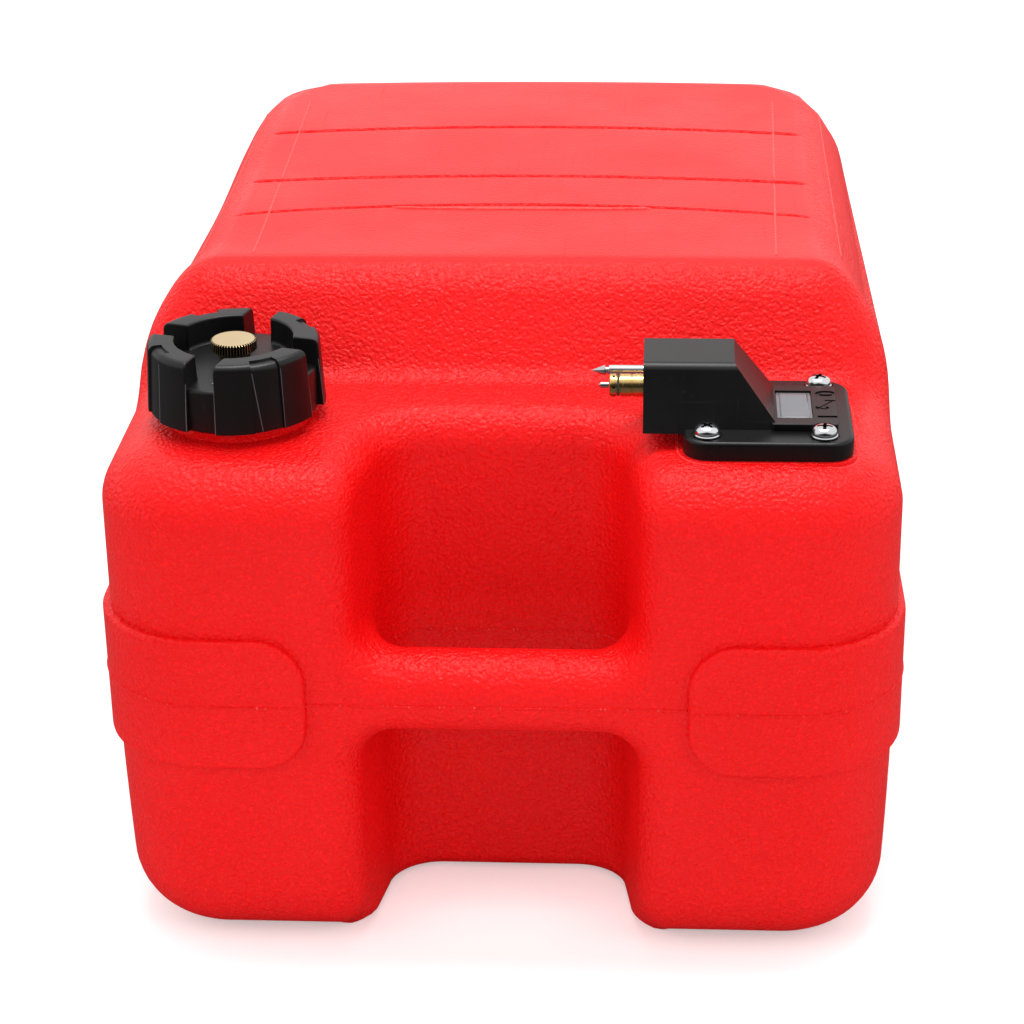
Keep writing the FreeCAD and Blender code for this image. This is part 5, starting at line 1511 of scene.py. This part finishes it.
# ---- Stage and light ----
def add_floor():
    half = 3.0
    corners = [(-half, -half, 0), (half, -half, 0), (half, half, 0), (-half, half, 0)]
    mesh = bpy.data.meshes.new("floor")
    mesh.from_pydata(corners, [], [(0, 1, 2, 3)])
    floor = add_object("floor", mesh)
    material, graph, shader, output = new_material("pale_floor")
    path = graph.add("ShaderNodeLightPath")
    seen = path.outputs["Is Camera Ray"]
    mirrored = path.outputs["Is Glossy Ray"]
    graph.put(shader.inputs["Base Color"], graph.blend(mirrored, (0.8, 0.8, 0.8, 1), (0.07, 0.07, 0.07, 1)))
    shader.inputs["Roughness"].default_value = 0.7
    lift = graph.add("ShaderNodeEmission", {"Color": (1, 1, 1, 1), "Strength": 0.35})
    both = graph.add("ShaderNodeAddShader")
    graph.links.new(shader.outputs[0], both.inputs[0])
    graph.links.new(lift.outputs[0], both.inputs[1])
    pick = graph.add("ShaderNodeMixShader", {"Fac": seen})
    graph.links.new(shader.outputs[0], pick.inputs[1])
    graph.links.new(both.outputs[0], pick.inputs[2])
    graph.links.new(pick.outputs[0], output.inputs["Surface"])
    mesh.materials.append(material)


def add_world():
    """White for the camera; for the tank a bright back and sky and a dim front."""
    world = bpy.data.worlds.new("studio")
    world.use_nodes = True
    world.node_tree.nodes.clear()
    graph = Graph(world.node_tree)
    path = graph.add("ShaderNodeLightPath")
    way = graph.add("ShaderNodeSeparateXYZ", {"Vector": graph.add("ShaderNodeTexCoord").outputs["Generated"]})
    sideways = graph.math("MULTIPLY", graph.math("ABSOLUTE", way.outputs["X"]), 0.45)
    back = graph.math("MULTIPLY_ADD", way.outputs["Z"], 0.8, graph.math("MULTIPLY_ADD", way.outputs["Y"], 0.6, sideways))
    diffuse = graph.spread(back, 0.0, 0.50, 0.15, 1.0)
    mirrored = graph.spread(back, 0.0, 0.42, 0.02, 1.0)
    room = graph.add("ShaderNodeMix", {"Factor": path.outputs["Is Glossy Ray"], "A": diffuse, "B": mirrored}).outputs[0]
    strength = graph.math("MAXIMUM", path.outputs["Is Camera Ray"], room)
    background = graph.add("ShaderNodeBackground", {"Color": (1, 1, 1, 1), "Strength": strength})
    graph.add("ShaderNodeOutputWorld", {"Surface": background.outputs[0]})
    bpy.context.scene.world = world


def add_lamp(name, place, target, size, power, mirrored=True):
    data = bpy.data.lights.new(name, "AREA")
    data.shape = "RECTANGLE"
    data.size, data.size_y = size
    data.energy = power
    lamp = bpy.data.objects.new(name, data)
    bpy.context.scene.collection.objects.link(lamp)
    way = Vector(target) - Vector(place)
    lamp.matrix_world = Matrix.Translation(place) @ way.to_track_quat("-Z", "Y").to_matrix().to_4x4()
    lamp.visible_glossy = mirrored
    return lamp


add_camera()
add_floor()
add_world()
add_lamp("overhead", (0.0, 0.10, 1.5), (0, 0, 0.2), (0.9, 0.6), 14)
add_lamp("left", (-1.3, -0.9, 0.9), (0, 0, 0.12), (0.9, 0.9), 5, False)
add_lamp("right", (1.3, -0.9, 0.9), (0, 0, 0.12), (0.9, 0.9), 5, False)
add_lamp("front", (0.0, -1.5, 0.60), (0, 0, 0.12), (1.3, 0.8), 5.5, False)

scene = bpy.context.scene
scene.view_settings.view_transform = "Standard"
